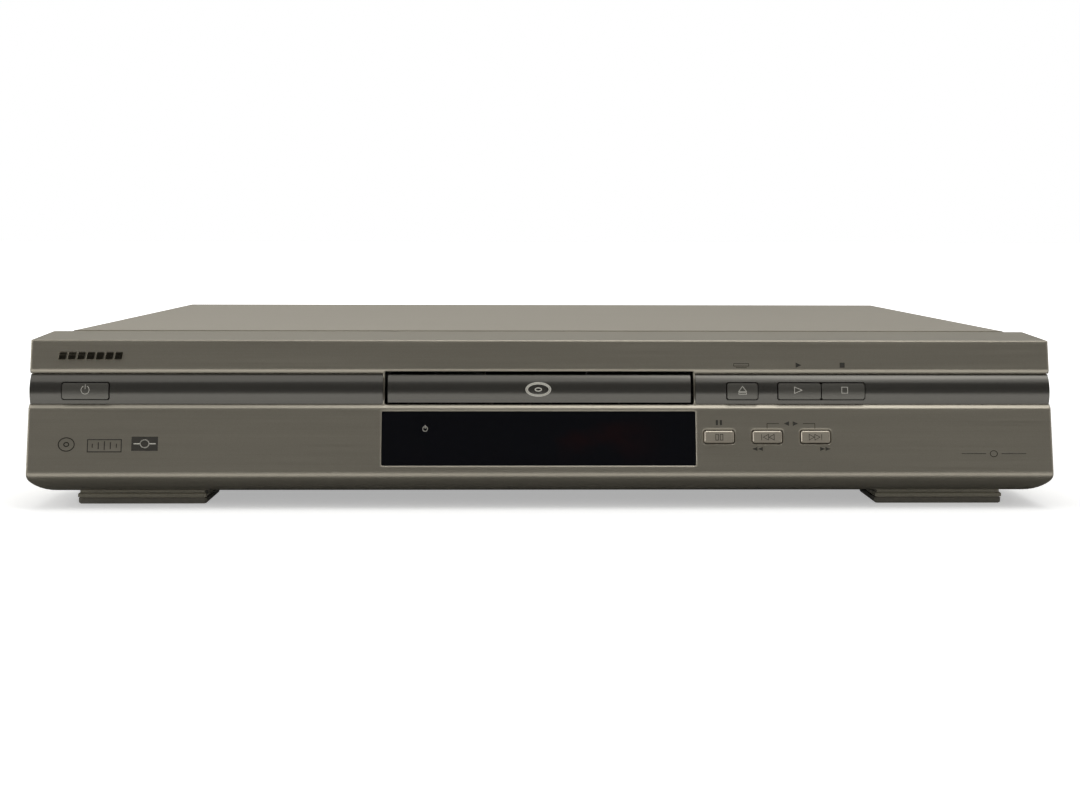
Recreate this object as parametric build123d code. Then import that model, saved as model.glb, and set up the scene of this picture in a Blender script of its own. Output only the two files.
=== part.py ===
from build123d import *
from math import atan2, cos, degrees, hypot, pi, radians, sin, sqrt, tan
import os

# A full-width disc player with a motor-driven tray.  Millimetres.  X runs to the right as seen from the
# front, Z is up from the surface that the feet stand on.  While the pieces are drawn, the second
# coordinate is the depth behind the front-most point of the face; save() then centres the player, so
# that in the written files its front looks along -Y and the origin lies under its middle.

os.makedirs("parts", exist_ok=True)

# ---------------------------------------------------------------- case
bezel_width = 430.0
cheek = 7.2
height = 72.0
case_depth = 300.0
jack_standout = 8.0
cover_rear_flange = 12.0
side_flange_height = 11.0
rear_panel_inset = 1.8
clip_width = 12.0
clip_reach = 8.0
clip_shares = (-0.72, -0.3, 0.3, 0.72)
base_slots = (5, 2)
base_slot = (4.0, 36.0)
base_slot_pitch = (12.0, 50.0)
vent_count = 10
vent_width = 3.0
vent_pitch = 8.0
vent_z = (24.0, 52.0)
vent_from_middle = -100.0
foot_height = 6.5
sheet = 1.0
cover_sheet = 0.8
cover_bend = 1.5
seam = 0.3
slide_gap = 0.3
fit_gap = 0.05

# ---------------------------------------------------------------- front moulding
face_lean = 13.9
bezel_depth = 48.0
bezel_wall = 2.5
bezel_top_fall = 2.5
bezel_top_round = 1.5
chin_radius = 5.0
keel_radius = 14.2
chin_turn = 40.0
lip_depth = 20.0
cheek_flange = 2.5
ledge_reach = 8.0

lower_panel_top = 42.0
lower_chamfer = 1.4
lower_chamfer_depth = 1.3
channel_height = 12.85
channel_depth = 3.0
channel_wall = 2.0
upper_chamfer = 1.45
upper_chamfer_depth = 0.9
channel_web = 2.2

band_low_gap = 0.12
band_high_gap = 0.4
band_edge_depth = 1.45
band_bulge = 1.85
band_back = 2.85

# ---------------------------------------------------------------- window and keys
window_x = (-67.7, 64.3)
window_z = (18.3, 40.6)
window_round = 0.6
window_sunk = 0.25
window_thickness = 2.0
window_gap = 0.12
window_flange = 1.8

key_gap = 0.45
key_corner = 0.7
key_proud = 0.7
key_edge = 0.35
key_travel = 0.8
key_flange = 1.2
key_stem = 2.4
band_key_z = (45.15, 52.75)
band_key_proud = 0.45
power_key_inset = 13.4
power_key_width = 20.2
open_key_x = (77.4, 91.1)
play_key_x = (99.0, 117.85)
stop_key_x = (117.4, 136.4)
pause_key_x = (67.45, 80.7)
skip_back_key_x = (87.8, 101.0)
skip_forward_key_x = (108.2, 121.3)
panel_key_z = (27.2, 33.05)

# ---------------------------------------------------------------- front boards
board_depth = 23.0
board = 1.6
switch_side = 6.0
switch_height = 4.0
switch_bore_depth = 3.0
stem_entry = 1.2
front_board_x = (-76.0, 148.0)
front_board_z = (11.0, 41.0)
front_board_raised_x = 68.5
front_board_raised_top = 57.0
key_board_inset = 5.5
key_board_width = 37.5
key_board_z = (40.0, 58.0)
board_post = 4.0
display_x = (-52.0, 46.0)
display_z = (21.0, 38.5)
display_depth = 5.0
receiver_x = 56.0
receiver_z = 33.0
receiver_side = 7.0
receiver_depth = 6.0
lamp_x = -60.0
lamp_z = 33.5
lamp_radius = 1.5
lamp_length = 7.0

# ---------------------------------------------------------------- disc tray
tray_centre = -1.4
tray_opening_half = 65.2
tray_opening_z = (43.25, 57.05)
opening_rim = 0.6
opening_rim_depth = 0.7
door_half = 63.8
door_z = (44.15, 55.55)
door_back = 13.2
tray_half = 62.6
tray_z = (45.2, 54.6)
tray_length = 190.0
tray_wall = 2.0
tray_plate_under = 48.2
disc_centre_behind_front = 65.5
disc_recess_radius = 60.5
disc_recess_floor = 51.2
small_recess_radius = 40.5
small_recess_floor = 50.0
tray_rear_top = 50.6
tray_slot_half = 24.0
finger_notch_radius = 9.0
tray_corner = 1.5
tray_travel = 132.0

# ---------------------------------------------------------------- loader
loader_front = 30.0
loader_rear = 205.0
loader_wall = 2.5
loader_floor = (12.0, 14.0)
loader_side_gap = 1.6
loader_side_top = 57.5
rail_ledge = 3.2
rail_ledge_height = 1.9
guide_lip_height = 2.5
guide_lip_length = 26.0
loader_front_top = 40.0
loader_rear_top = 42.0
loader_foot = 8.0
loader_foot_inset = 10.0
loader_end_wall = 2.0
floor_window_half = 44.0
floor_window_t = (66.0, 190.0)

tooth_backlash = 0.4
rack_module = 1.5
rack_teeth_height = 2.25
rack_inset = 7.6
rack_back = 2.0
pinion_teeth = 12
wheel_module = 1.0
wheel_teeth = 32
small_pinion_teeth = 10
drive_gear_behind_front = 19.5
pulley_gear_turn = -12.8
wheel_z = (37.0, 41.0)
pulley_z = (31.0, 35.2)
pulley_radius = 11.0
motor_pulley_radius = 4.0
pulley_lip = 1.4
pulley_lip_height = 1.0
belt_side = 1.1
belt_gap = 0.3
gear_post_radius = 3.0
small_post_radius = 1.5
post_shoulder = 2.0
motor_x = 8.0
loading_motor_radius = 11.8
loading_motor_height = 13.5
motor_bore_depth = 5.0
motor_shaft_depth = 4.0
shaft_radius = 1.0

# ---------------------------------------------------------------- traverse and cam
traverse_plate_z = (34.0, 36.0)
traverse_half = 42.0
traverse_front = 64.0
traverse_rear = 180.0
traverse_flange = 1.2
traverse_flange_setback = 12.0
traverse_flange_top = 40.0
hinge_t = 183.0
hinge_z = 32.0
turntable_drop = 7.5
trunnion_radius = 2.0
trunnion_end = 49.0
bush_wall = 1.2
bearing_wall = 4.5
lug_width = 4.0
lug_below = 3.5
tab_half = 5.0
tab_thickness = 2.5
tab_below = 4.0
pickup_window_half = 22.0

seat_z = 54.0
seat_thickness = 2.5
seat_radius = 15.0
cone_radius = 7.3
cone_height = 1.0
spindle_motor_radius = 12.5
spindle_motor_top = 50.2
spindle_bore_depth = 6.0
spindle_shaft_depth = 5.0

cam_t = (58.0, 61.0)
cam_travel = 20.0
cam_half = 32.0
cam_top = 36.0
cam_pin_z = 30.0
cam_pin_radius = 1.5
cam_slot_slack = 0.5
cam_rib_height = 3.0
cam_rib = 0.9
cam_relief_start = 8.0
cam_relief_wall = 4.5

rail_half_spacing = 28.0
rail_z = 43.0
rail_radius = 1.5
rail_front = 86.0
rail_post = 4.0
rail_post_half = 2.5
screw_bearing_wall = 1.2
pickup_inner = 24.0
pickup_travel = 36.0
pickup_front_reach = 8.5
pickup_rear_reach = 17.0
pickup_half = 32.0
pickup_z = (38.5, 47.4)
pickup_corner = 6.0
pickup_nose_half = 20.0
pickup_pocket = (36.0, 5.5, 2.0)
pickup_pocket_wall = 3.0
pickup_nut = 6.0
lens_radius = 3.5
lens_top = 50.6
screw_x = 35.0
screw_z = 41.8
screw_radius = 1.5
feed_motor_radius = 5.6
feed_motor_length = 14.0

# ---------------------------------------------------------------- clamper
bridge_z = (57.5, 58.5)
bridge_t = (60.0, 98.0)
bridge_rib = 3.0
bridge_hole = 13.0
puck_radius = 15.5
puck_neck_gap = 0.5
puck_bottom = 55.2
puck_flange = 2.0
puck_hook = 8.0

# ---------------------------------------------------------------- electronics
board_side_gap = 6.8
board_rear_gap = 8.0
main_board_left = 74.0
main_board_front = 110.0
power_board_right = -86.0
power_board_front = 120.0
board_z = 14.0
standoff_across = 7.0
standoff_inset = 6.0
screw_shank = 1.3
screw_head = 2.9
screw_head_height = 1.7
screw_clearance = 0.3
case_screw_length = 5.0
case_screw_drop = 6.0
base_screw_shares = (-0.5, 0.0, 0.42)
cover_screw_shares = (-0.93, -0.05, 0.93)
side_screw_z = 13.5
side_screw_front = 45.0
side_screw_rear = 50.0
jack_pitch = 18.0
jack_low_z = 26.0
jack_from_side = 61.8
jack_shell_radius = 4.15
jack_shell_wall = 0.8
jack_sides = 12
jack_face = 0.8
jack_block_depth = 14.0
jack_block_margin = 9.0
optical_from_side = 37.8
optical_door = 8.0
optical_door_depth = 0.8
socket_z = 35.0
socket_side = 14.0
s_video_radius = 6.0
s_video_standout = 2.0
inlet_from_side = 42.8
inlet_z = 28.0
inlet_half_width = 10.0
inlet_half_height = 6.5
inlet_depth = 18.0
inlet_standout = 0.5
inlet_cavity = (14.4, 7.8, 11.0)
inlet_pin_radius = 1.2
inlet_pin_spacing = 8.6
inlet_pin_sunk = 2.0

# what stands on the boards: place as shares of the board's width and depth, then width, depth, height
decoder_chip = (0.327, 0.275, 28.0, 28.0, 3.0)
memory_chips = (
    (0.657, 0.220, 18.0, 22.0, 2.5),
    (0.657, 0.412, 14.0, 20.0, 2.5),
    (0.311, 0.522, 22.0, 14.0, 2.5),
)
heatsink_side = 26.0
heatsink_base = 2.5
fin_count = 6
fin_thickness = 1.4
fin_pitch = 4.8
fin_height = 8.5
transformer_core = (0.622, 0.552, 30.0, 14.0, 26.0)
transformer_winding = (20.0, 26.0, 20.0)
winding_lift = 3.0
power_plate = (0.391, 0.465, 2.4, 44.0, 34.0)
power_plate_foot = 12.0
capacitors = ((0.165, 0.302, 9.0, 30.0), (0.635, 0.860, 6.0, 22.0), (0.843, 0.826, 5.0, 20.0))
capacitor_sides = 20

ribbon_x = (100.0, 124.0)
ribbon = 0.4
ribbon_low = 10.0
ribbon_bend = 5.0
ribbon_start_up = 4.0
ribbon_front_runs = (12.0, 24.0)
ribbon_rear_runs = (8.0, 18.0)
ribbon_plug = (2.0, 6.0, 5.0)
ribbon_plug_entry = 3.0

# ---------------------------------------------------------------- feet
foot_from_side = 44.5
foot_width = 54.5
foot_length = 30.0
front_foot_t = 14.4
rear_foot_from_rear = 50.0
pad_height = 2.4
foot_groove = 0.5
foot_ledge_top = 4.7
foot_inset = 0.8

# ---------------------------------------------------------------- derived places
front_y = -(case_depth + jack_standout) / 2
cover_width = bezel_width - 2 * cheek
slope = tan(radians(face_lean))
bezel_half = bezel_width / 2
cover_half = cover_width / 2
case_inner_half = cover_half - cover_sheet
chassis_half = case_inner_half - 0.4
foot_x = bezel_half - foot_from_side
rear_foot_t = case_depth - rear_foot_from_rear
power_key_x = (power_key_inset - bezel_half, power_key_inset + power_key_width - bezel_half)
key_board_x = (key_board_inset - bezel_half, key_board_inset + key_board_width - bezel_half)
main_board_x = (main_board_left, cover_half - board_side_gap)
main_board_t = (main_board_front, case_depth - board_rear_gap)
power_board_x = (board_side_gap - cover_half, power_board_right)
power_board_t = (power_board_front, case_depth - board_rear_gap)
panel_front = case_depth - rear_panel_inset
optical_x = cover_half - optical_from_side
jack_x = (cover_half - jack_from_side - jack_pitch, cover_half - jack_from_side)
s_video_x = (main_board_left + standoff_inset + screw_head + jack_x[0] - jack_block_margin) / 2
jack_z = (jack_low_z, jack_low_z + jack_pitch)
inlet_x = inlet_from_side - cover_half
keel_z = foot_height + keel_radius
chin_z = keel_z - (keel_radius - chin_radius) * sin(radians(chin_turn))
keel_t = chin_radius + (keel_radius - chin_radius) * cos(radians(chin_turn))
face_start_z = chin_z + chin_radius * sin(radians(face_lean))
face_start_t = chin_radius * (1 - cos(radians(face_lean)))
bezel_top_rear = height - 0.2
top_slope = bezel_top_fall / bezel_depth
channel_low = lower_panel_top + lower_chamfer
channel_high = channel_low + channel_height
upper_panel_low = channel_high + upper_chamfer
band_z = (channel_low + band_low_gap, channel_high - band_high_gap)
base_top = foot_height + sheet
tray_front = door_back
tray_rear = tray_front + tray_length
disc_t = tray_front + disc_centre_behind_front
loader_inner = tray_half + loader_side_gap
loader_outer = loader_inner + loader_wall
rail_top = tray_z[0] - slide_gap
rack_x = tray_centre - tray_half + rack_inset
pinion_radius = rack_module * pinion_teeth / 2
wheel_radius = wheel_module * wheel_teeth / 2
small_pinion_radius = wheel_module * small_pinion_teeth / 2
gear_x = rack_x + pinion_radius
gear_t = loader_front + drive_gear_behind_front
gear_spacing = wheel_radius + small_pinion_radius
pulley_x = gear_x + gear_spacing * cos(radians(pulley_gear_turn))
pulley_t = gear_t + gear_spacing * sin(radians(pulley_gear_turn))
motor_t = pulley_t
motor_top = loader_floor[1] + loading_motor_height
board_top = board_z + board
pinion_z = (wheel_z[1], tray_plate_under - slide_gap)
drop_angle = degrees(atan2(turntable_drop, hinge_t - disc_t))
cam_mid = (cam_t[0] + cam_t[1]) / 2
cam_rise = (hinge_t - cam_mid) * sin(radians(drop_angle))
cam_rise -= (hinge_z - cam_pin_z) * (1 - cos(radians(drop_angle)))
cam_low_z = cam_pin_z - cam_rise
cam_bottom = loader_floor[1] + slide_gap
pickup_t = disc_t + pickup_inner
rail_rear = pickup_t + pickup_travel + pickup_rear_reach + rail_post + 2.0
feed_motor_t = (rail_rear + 1.0, rail_rear + 1.0 + feed_motor_length)
panel_rear = panel_front + sheet
puck_neck = bridge_hole - puck_neck_gap
puck_neck_z = (bridge_z[0] - slide_gap, bridge_z[1] + slide_gap)
jack_end = case_depth + jack_standout
inlet_rear = case_depth + inlet_standout


# ---------------------------------------------------------------- drawing helpers
def middle(pair):
    return (pair[0] + pair[1]) / 2


def span(pair):
    return pair[1] - pair[0]


def around(centre, half):
    return (centre - half, centre + half)


def grow(pair, by):
    return (pair[0] - by, pair[1] + by)


def sided(side, centre, near, far):
    """The stretch between two distances to the left (-1) or right (1) of a centre."""
    return tuple(sorted((centre + side * near, centre + side * far)))


def block(x, t, z):
    """A square-cut solid between two widths, two depths and two heights."""
    return Pos(middle(x), middle(t), middle(z)) * Box(span(x), span(t), span(z))


def rod_x(x, t, z, radius):
    return Pos(middle(x), t, z) * Rot(0, 90, 0) * Cylinder(radius, span(x))


def rod_t(x, t, z, radius):
    return Pos(x, middle(t), z) * Rot(90, 0, 0) * Cylinder(radius, span(t))


def rod_z(x, t, z, radius):
    return Pos(x, t, middle(z)) * Cylinder(radius, span(z))


def prism_t(outline, t):
    """Extrude an outline drawn in width and height from front to back."""
    return extrude(Plane.XZ.offset(-t[1]) * outline, amount=span(t))


def rounded_bar(x, z, t, corner):
    """A round-cornered bar running from front to back."""
    return prism_t(Pos(middle(x), middle(z)) * RectangleRounded(span(x), span(z), corner), t)


def cut_corner_bar(x, z, t, corner):
    """A bar from front to back with its long corners cut off."""
    outline = Rectangle(span(x), span(z))
    outline = chamfer(outline.vertices(), corner)
    return prism_t(Pos(middle(x), middle(z)) * outline, t)


def fastener(sides, radius, height, bottom=0.0):
    """A plain flat-sided stub that stands for a small screw's head, shank or hole."""
    return Pos(0, 0, bottom) * extrude(RegularPolygon(radius, sides), amount=height)


def flat_sided(x, t, z, radius, sides):
    """An upright hole or shoulder with flat sides that all touch the radius."""
    return Pos(x, t, z[0]) * fastener(sides, radius / cos(pi / sides), span(z))


def turned_z(x, t, z, radius, sides=36):
    """An upright round piece inside the case, with its corners on the radius."""
    return Pos(x, t, z[0]) * fastener(sides, radius, span(z))


def hole_t(x, t, z, radius):
    return prism_t(Pos(x, z) * RegularPolygon(radius, 6), t)


def hole_x(x, t, z, radius):
    return Pos(x[0], t, z) * Rot(0, 90, 0) * fastener(6, radius, span(x))


def hole_z(x, t, z, radius):
    return Pos(x, t, z[0]) * fastener(6, radius, span(z))


def side_solid(outline, x):
    """Extrude an outline drawn in depth and height across the width x."""
    return extrude(Plane.YZ.offset(x[0]) * make_face(outline), amount=span(x))


def plan_solid(outline, z):
    """Extrude an outline drawn in width and depth upwards."""
    return extrude(Plane.XY.offset(z[0]) * make_face(outline), amount=span(z))


def arc(centre, radius, start, end):
    """Arc about a centre between two directions in degrees."""
    ways = [radians(start), radians((start + end) / 2), radians(end)]
    points = [(centre[0] + radius * cos(a), centre[1] + radius * sin(a)) for a in ways]
    return ThreePointArc(*points)


def arc_corners(centre, radius, start, end, steps=12):
    """Corners along an arc about a centre, for a small round drawn with flats."""
    ways = [radians(start + (end - start) * step / steps) for step in range(steps + 1)]
    return [(centre[0] + radius * cos(a), centre[1] + radius * sin(a)) for a in ways]


def face_t(z, behind=0.0):
    """Depth of the leaning face at height z, or of a surface that far behind it."""
    return face_start_t + (z - face_start_z) * slope + behind


def lean_slab(x, z, behind):
    """A slab parallel to the face between two heights and two depths behind it."""
    corners = [(face_t(z[i], behind[j]), z[i]) for i, j in ((0, 0), (0, 1), (1, 1), (1, 0))]
    return side_solid(Polyline(*corners, close=True), x)


def save(name, shape):
    """Write one sub-part, set about the middle of the player."""
    solids = [Pos(0, front_y, 0) * s for s in shape.solids()]
    piece = solids[0] if len(solids) == 1 else Compound(children=solids)
    export_step(piece, f"parts/{name}.step")


# ---------------------------------------------------------------- case
def top_z(t, inset=0.0):
    """Height of the moulding's sloping top at a depth."""
    return bezel_top_rear - (bezel_depth - t) * top_slope - inset


def bezel_side(inset, rear):
    """Side outline of the front moulding, drawn that far inside its skin."""
    skin = inset / cos(radians(face_lean))
    corner_t = face_t(top_z(0, inset), skin) / (1 - slope * top_slope)
    corner = (corner_t, top_z(corner_t, inset))
    chin_top = (
        chin_radius - (chin_radius - inset) * cos(radians(face_lean)),
        chin_z + (chin_radius - inset) * sin(radians(face_lean)),
    )
    keel_arc = arc((keel_t, keel_z), keel_radius - inset, 270, 180 + chin_turn)
    chin_arc = arc((chin_radius, chin_z), chin_radius - inset, 180 + chin_turn, 180 - face_lean)
    underside = Line((rear, foot_height + inset), (keel_t, foot_height + inset))
    face = Line(chin_top, corner)
    top = Line(corner, (rear, top_z(rear, inset)))
    back = Line((rear, top_z(rear, inset)), (rear, foot_height + inset))
    return underside + keel_arc + chin_arc + face + top + back


def bezel_ends(inset):
    """Front outline of the moulding: upright ends that turn under like the chin."""
    chin_x = bezel_half - chin_radius
    keel_x = chin_x - (keel_radius - chin_radius) * cos(radians(chin_turn))
    side_x = bezel_half - inset
    floor_z = foot_height + inset
    right_keel = arc((keel_x, keel_z), keel_radius - inset, 270, 360 - chin_turn)
    right_chin = arc((chin_x, chin_z), chin_radius - inset, 360 - chin_turn, 360)
    over = Polyline((side_x, chin_z), (side_x, height), (-side_x, height), (-side_x, chin_z))
    left_chin = arc((-chin_x, chin_z), chin_radius - inset, 180, 180 + chin_turn)
    left_keel = arc((-keel_x, keel_z), keel_radius - inset, 180 + chin_turn, 270)
    floor = Line((-keel_x, floor_z), (keel_x, floor_z))
    return right_keel + right_chin + over + left_chin + left_keel + floor


def bezel_body(inset, rear):
    across = side_solid(bezel_side(inset, rear), around(0, bezel_half))
    along = extrude(Plane.XZ.offset(-rear) * make_face(bezel_ends(inset)), amount=rear)
    return across & along


def channel_cutter():
    """The groove that holds the dark band, with the bright chamfers above and below it."""
    outline = Polyline(
        (face_t(lower_panel_top), lower_panel_top),
        (face_t(channel_low, lower_chamfer_depth), channel_low),
        (face_t(channel_low, channel_depth), channel_low),
        (face_t(channel_high, channel_depth), channel_high),
        (face_t(channel_high, upper_chamfer_depth), channel_high),
        (face_t(upper_panel_low), upper_panel_low),
        (face_t(upper_panel_low, -channel_depth), upper_panel_low),
        (face_t(lower_panel_top, -channel_depth), lower_panel_top),
        close=True,
    )
    return side_solid(outline, around(0, bezel_half + 1))


def band_keys():
    return {
        "power_button": power_key_x,
        "open_close_button": open_key_x,
        "play_button": play_key_x,
        "stop_button": stop_key_x,
    }


def panel_keys():
    return {
        "pause_button": pause_key_x,
        "skip_back_button": skip_back_key_x,
        "skip_forward_button": skip_forward_key_x,
    }


def key_cutters():
    """Bars that cut every key's hole; play and stop share one."""
    through = (-key_travel, board_depth)
    bars = [cut_corner_bar(power_key_x, band_key_z, through, key_corner)]
    bars.append(cut_corner_bar(open_key_x, band_key_z, through, key_corner))
    bars.append(cut_corner_bar((play_key_x[0], stop_key_x[1]), band_key_z, through, key_corner))
    for x in panel_keys().values():
        bars.append(cut_corner_bar(x, panel_key_z, through, key_corner))
    return bars


def board_posts():
    """Places of the bosses that carry the two front boards."""
    low = front_board_z[0] + board_post + 1.0
    edge = board_post / 2 + 1.0
    return [
        (front_board_x[0] + edge - 0.5, low),
        (front_board_x[1] - edge, low),
        (front_board_x[1] - edge, middle(band_key_z)),
        (front_board_raised_x + edge, front_board_raised_top - edge),
        (key_board_x[0] + edge, middle(band_key_z)),
        (key_board_x[1] - edge, middle(band_key_z)),
    ]


def clip_places():
    return [share * bezel_half for share in clip_shares]


def front_bezel():
    outer = bezel_body(0, bezel_depth)
    edges = outer.edges().filter_by(Axis.X).group_by(Axis.Z)[-1].sort_by(Axis.Y)
    outer = fillet(edges[0], bezel_top_round)
    shell = outer - bezel_body(bezel_wall, bezel_depth + 1)
    channel_z = (channel_low - channel_web, channel_high + channel_web)
    channel_x = around(0, bezel_half - bezel_wall / 2)
    shell += lean_slab(channel_x, channel_z, (1.0, channel_depth + channel_wall))
    shell -= channel_cutter()
    cheek_t = (bezel_depth - cheek_flange, bezel_depth)
    for side in (-1, 1):
        cheek_x = sided(side, 0, cover_half + seam, bezel_half + 1)
        shell += outer & block(cheek_x, cheek_t, (0, height))
    ledge_z = (top_z(bezel_depth - 4, bezel_wall), height - cover_sheet - seam)
    shell += block(around(0, case_inner_half - 2), (bezel_depth - 4, bezel_depth + ledge_reach), ledge_z)
    shell -= block(around(0, cover_half + seam), (lip_depth, bezel_depth + 1), (0, base_top + 4))
    for side in (-1, 1):
        rim_x = sided(side, tray_centre, tray_opening_half, tray_opening_half + opening_rim)
        shell += lean_slab(rim_x, (channel_low, channel_high), (opening_rim_depth, channel_depth + 0.5))
    opening_x = around(tray_centre, tray_opening_half)
    shell -= rounded_bar(opening_x, tray_opening_z, (0, lip_depth), window_round)
    shell -= rounded_bar(window_x, window_z, (-1, lip_depth), window_round)
    for bar in key_cutters():
        shell -= bar
    for x, z in board_posts():
        start = bezel_wall / 2 if z < lower_panel_top else channel_depth + channel_wall / 2
        post_t = (face_t(z, start), board_depth)
        shell += block(around(x, board_post / 2), post_t, around(z, board_post / 2))
    for x in clip_places():
        clip_t = (lip_depth - bezel_wall, lip_depth + clip_reach)
        shell += block(around(x, clip_width / 2), clip_t, (base_top + seam, base_top + bezel_wall))
    return shell


def band_outline(forward, behind):
    """Section of the convex band: an arc in front, flat behind."""
    low, high = band_z
    front_low = (face_t(low, band_edge_depth - forward), low)
    front_high = (face_t(high, band_edge_depth - forward), high)
    lean = radians(face_lean)
    crown = (
        (front_low[0] + front_high[0]) / 2 - band_bulge * cos(lean),
        (low + high) / 2 + band_bulge * sin(lean),
    )
    front = ThreePointArc(front_low, crown, front_high)
    rest = Polyline(front_high, (face_t(high, behind), high), (face_t(low, behind), low), front_low)
    return front + rest


def band(x):
    strip = side_solid(band_outline(0, band_back), x)
    for bar in key_cutters():
        strip -= bar
    return strip


def band_left():
    return band((-bezel_half + 0.2, tray_centre - tray_opening_half - opening_rim - 0.1))


def band_right():
    return band((tray_centre + tray_opening_half + opening_rim + 0.1, bezel_half - 0.2))


def display_window():
    """Dark pane pushed in from behind, held by a flange all round."""
    inner_x = grow(window_x, -window_gap)
    inner_z = grow(window_z, -window_gap)
    pane = rounded_bar(inner_x, inner_z, (-1, lip_depth), window_round)
    wall_back = bezel_wall / cos(radians(face_lean)) + window_gap
    pane &= lean_slab(inner_x, inner_z, (window_sunk, wall_back + 0.5))
    flange_z = (window_z[0], lower_panel_top - 1.5)
    flange_behind = (wall_back, wall_back + window_thickness / 2)
    return pane + lean_slab(grow(window_x, window_flange), flange_z, flange_behind)


def standoffs(x, t):
    """Four places near the corners of a board."""
    return [(px, pt) for px in grow(x, -standoff_inset) for pt in grow(t, -standoff_inset)]


def loader_feet():
    x = loader_inner - loader_foot / 2
    t = (loader_front + loader_foot_inset, loader_rear - loader_foot_inset)
    return [(tray_centre + s * x, pt) for s in (-1, 1) for pt in t]


def foot_places():
    return [(s * foot_x, t) for s in (-1, 1) for t in (front_foot_t, rear_foot_t)]


def base_slot_places():
    """Air slots in the floor, in rows under the power board."""
    places = []
    for column in range(base_slots[0]):
        for row in range(base_slots[1]):
            x = middle(power_board_x) + (column - (base_slots[0] - 1) / 2) * base_slot_pitch[0]
            t = middle(power_board_t) + (row - (base_slots[1] - 1) / 2) * base_slot_pitch[1]
            places.append((x, t))
    return places


def chassis_base():
    """Folded sheet: floor, low front lip, side and rear flanges, pressed-up standoffs."""
    rear = panel_front - fit_gap
    floor = block(around(0, chassis_half), (lip_depth + 0.5, rear), (foot_height, base_top))
    lip_t = (lip_depth + 0.5, lip_depth + 0.5 + sheet)
    front_lip = block(around(0, chassis_half - 3), lip_t, (foot_height, base_top + bezel_wall))
    for x in clip_places():
        front_lip -= block(around(x, clip_width / 2 + 1), grow(lip_t, 1), (base_top, height))
    rear_flange = block(around(0, chassis_half - 2), (rear - sheet, rear), (foot_height, board_z))
    body = floor + front_lip + rear_flange
    for side in (-1, 1):
        flange_x = sided(side, 0, chassis_half - sheet, chassis_half)
        body += block(flange_x, (bezel_depth, rear), (foot_height, base_top + side_flange_height))
    for x, t in standoffs(main_board_x, main_board_t) + standoffs(power_board_x, power_board_t):
        body += Pos(x, t, base_top) * fastener(6, standoff_across / 2, board_z - base_top)
    for x, t in base_slot_places():
        slot_x = around(x, base_slot[0] / 2)
        body -= block(slot_x, around(t, base_slot[1] / 2), (foot_height - 1, base_top + 1))
    for x, z in case_screw_places()["base"]:
        body -= hole_t(x, (rear - 3, rear + 1), z, screw_shank + screw_clearance)
    for s, t in case_screw_places()["side"]:
        hole = sided(s, 0, chassis_half - 3, chassis_half + 1)
        body -= hole_x(hole, t, side_screw_z, screw_shank + screw_clearance)
    return body


def case_screw_places():
    """Rear panel to base, cover to rear panel, cover to the side flanges."""
    side_t = (bezel_depth + side_screw_front, case_depth - side_screw_rear)
    return {
        "base": [(share * chassis_half, middle((base_top, board_z))) for share in base_screw_shares],
        "cover": [(share * chassis_half, height - case_screw_drop) for share in cover_screw_shares],
        "side": [(s, t) for s in (-1, 1) for t in side_t],
    }


def top_cover():
    """Folded sheet cover: top, two sides, and a flange down over the rear panel."""
    t = (bezel_depth + seam, case_depth)
    outer = block(around(0, cover_half), t, (base_top, height))
    outer = fillet(outer.edges().filter_by(Axis.Y).group_by(Axis.Z)[-1], cover_bend)
    inner = block(around(0, case_inner_half), grow(t, 1), (0, height - cover_sheet))
    inner = fillet(inner.edges().filter_by(Axis.Y).group_by(Axis.Z)[-1], cover_bend - cover_sheet)
    shell = outer - inner
    flange_z = (height - cover_rear_flange, height - cover_sheet / 2)
    shell += block(around(0, case_inner_half - 1), (panel_rear, case_depth), flange_z)
    for x, z in case_screw_places()["cover"]:
        shell -= hole_t(x, (panel_rear - 1, case_depth + 1), z, screw_shank + screw_clearance)
    for s, side_t in case_screw_places()["side"]:
        hole = sided(s, 0, case_inner_half - 1, cover_half + 1)
        shell -= hole_x(hole, side_t, side_screw_z, screw_shank + screw_clearance)
    return shell


def rear_panel():
    """Upright sheet with the holes that the sockets stand in and a row of air slots."""
    t = (panel_front, panel_rear)
    through = grow(t, 2)
    panel = block(around(0, chassis_half - 1), t, (base_top + fit_gap, height - cover_sheet - seam))
    for x, z in socket_faces():
        panel -= block(grow(x, slide_gap), through, grow(z, slide_gap))
    for step in range(vent_count):
        panel -= block(around(vent_from_middle + vent_pitch * step, vent_width / 2), through, vent_z)
    places = case_screw_places()
    for x, z in places["base"] + places["cover"]:
        panel -= hole_t(x, through, z, screw_shank + screw_clearance)
    return panel


def socket_faces():
    """Width and height of each socket's face, where it stands through the rear panel."""
    jack_face_x = grow((jack_x[0], jack_x[-1]), jack_block_margin)
    jack_face_z = grow((jack_z[0], jack_z[-1]), jack_block_margin - 1)
    faces = [(jack_face_x, jack_face_z)]
    for x in (s_video_x, optical_x):
        faces.append((around(x, socket_side / 2), around(socket_z, socket_side / 2)))
    faces.append((around(inlet_x, inlet_half_width), around(inlet_z, inlet_half_height)))
    return faces


def foot(x, t):
    """Moulded foot: a neck under the case, then a wider ledge."""
    length = (t, t + foot_length)
    ledge = block(around(x, foot_width / 2), length, (pad_height + foot_groove, foot_ledge_top))
    ledge = chamfer(ledge.edges().group_by(Axis.Z)[-1], 0.5)
    neck_x = around(x, foot_width / 2 - foot_inset)
    return ledge + block(neck_x, grow(length, -foot_inset), (pad_height, foot_height))


def feet(t):
    return Compound(children=[foot(s * foot_x, t) for s in (-1, 1)])


def front_feet():
    return feet(front_foot_t)


def rear_feet():
    return feet(rear_foot_t)


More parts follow.
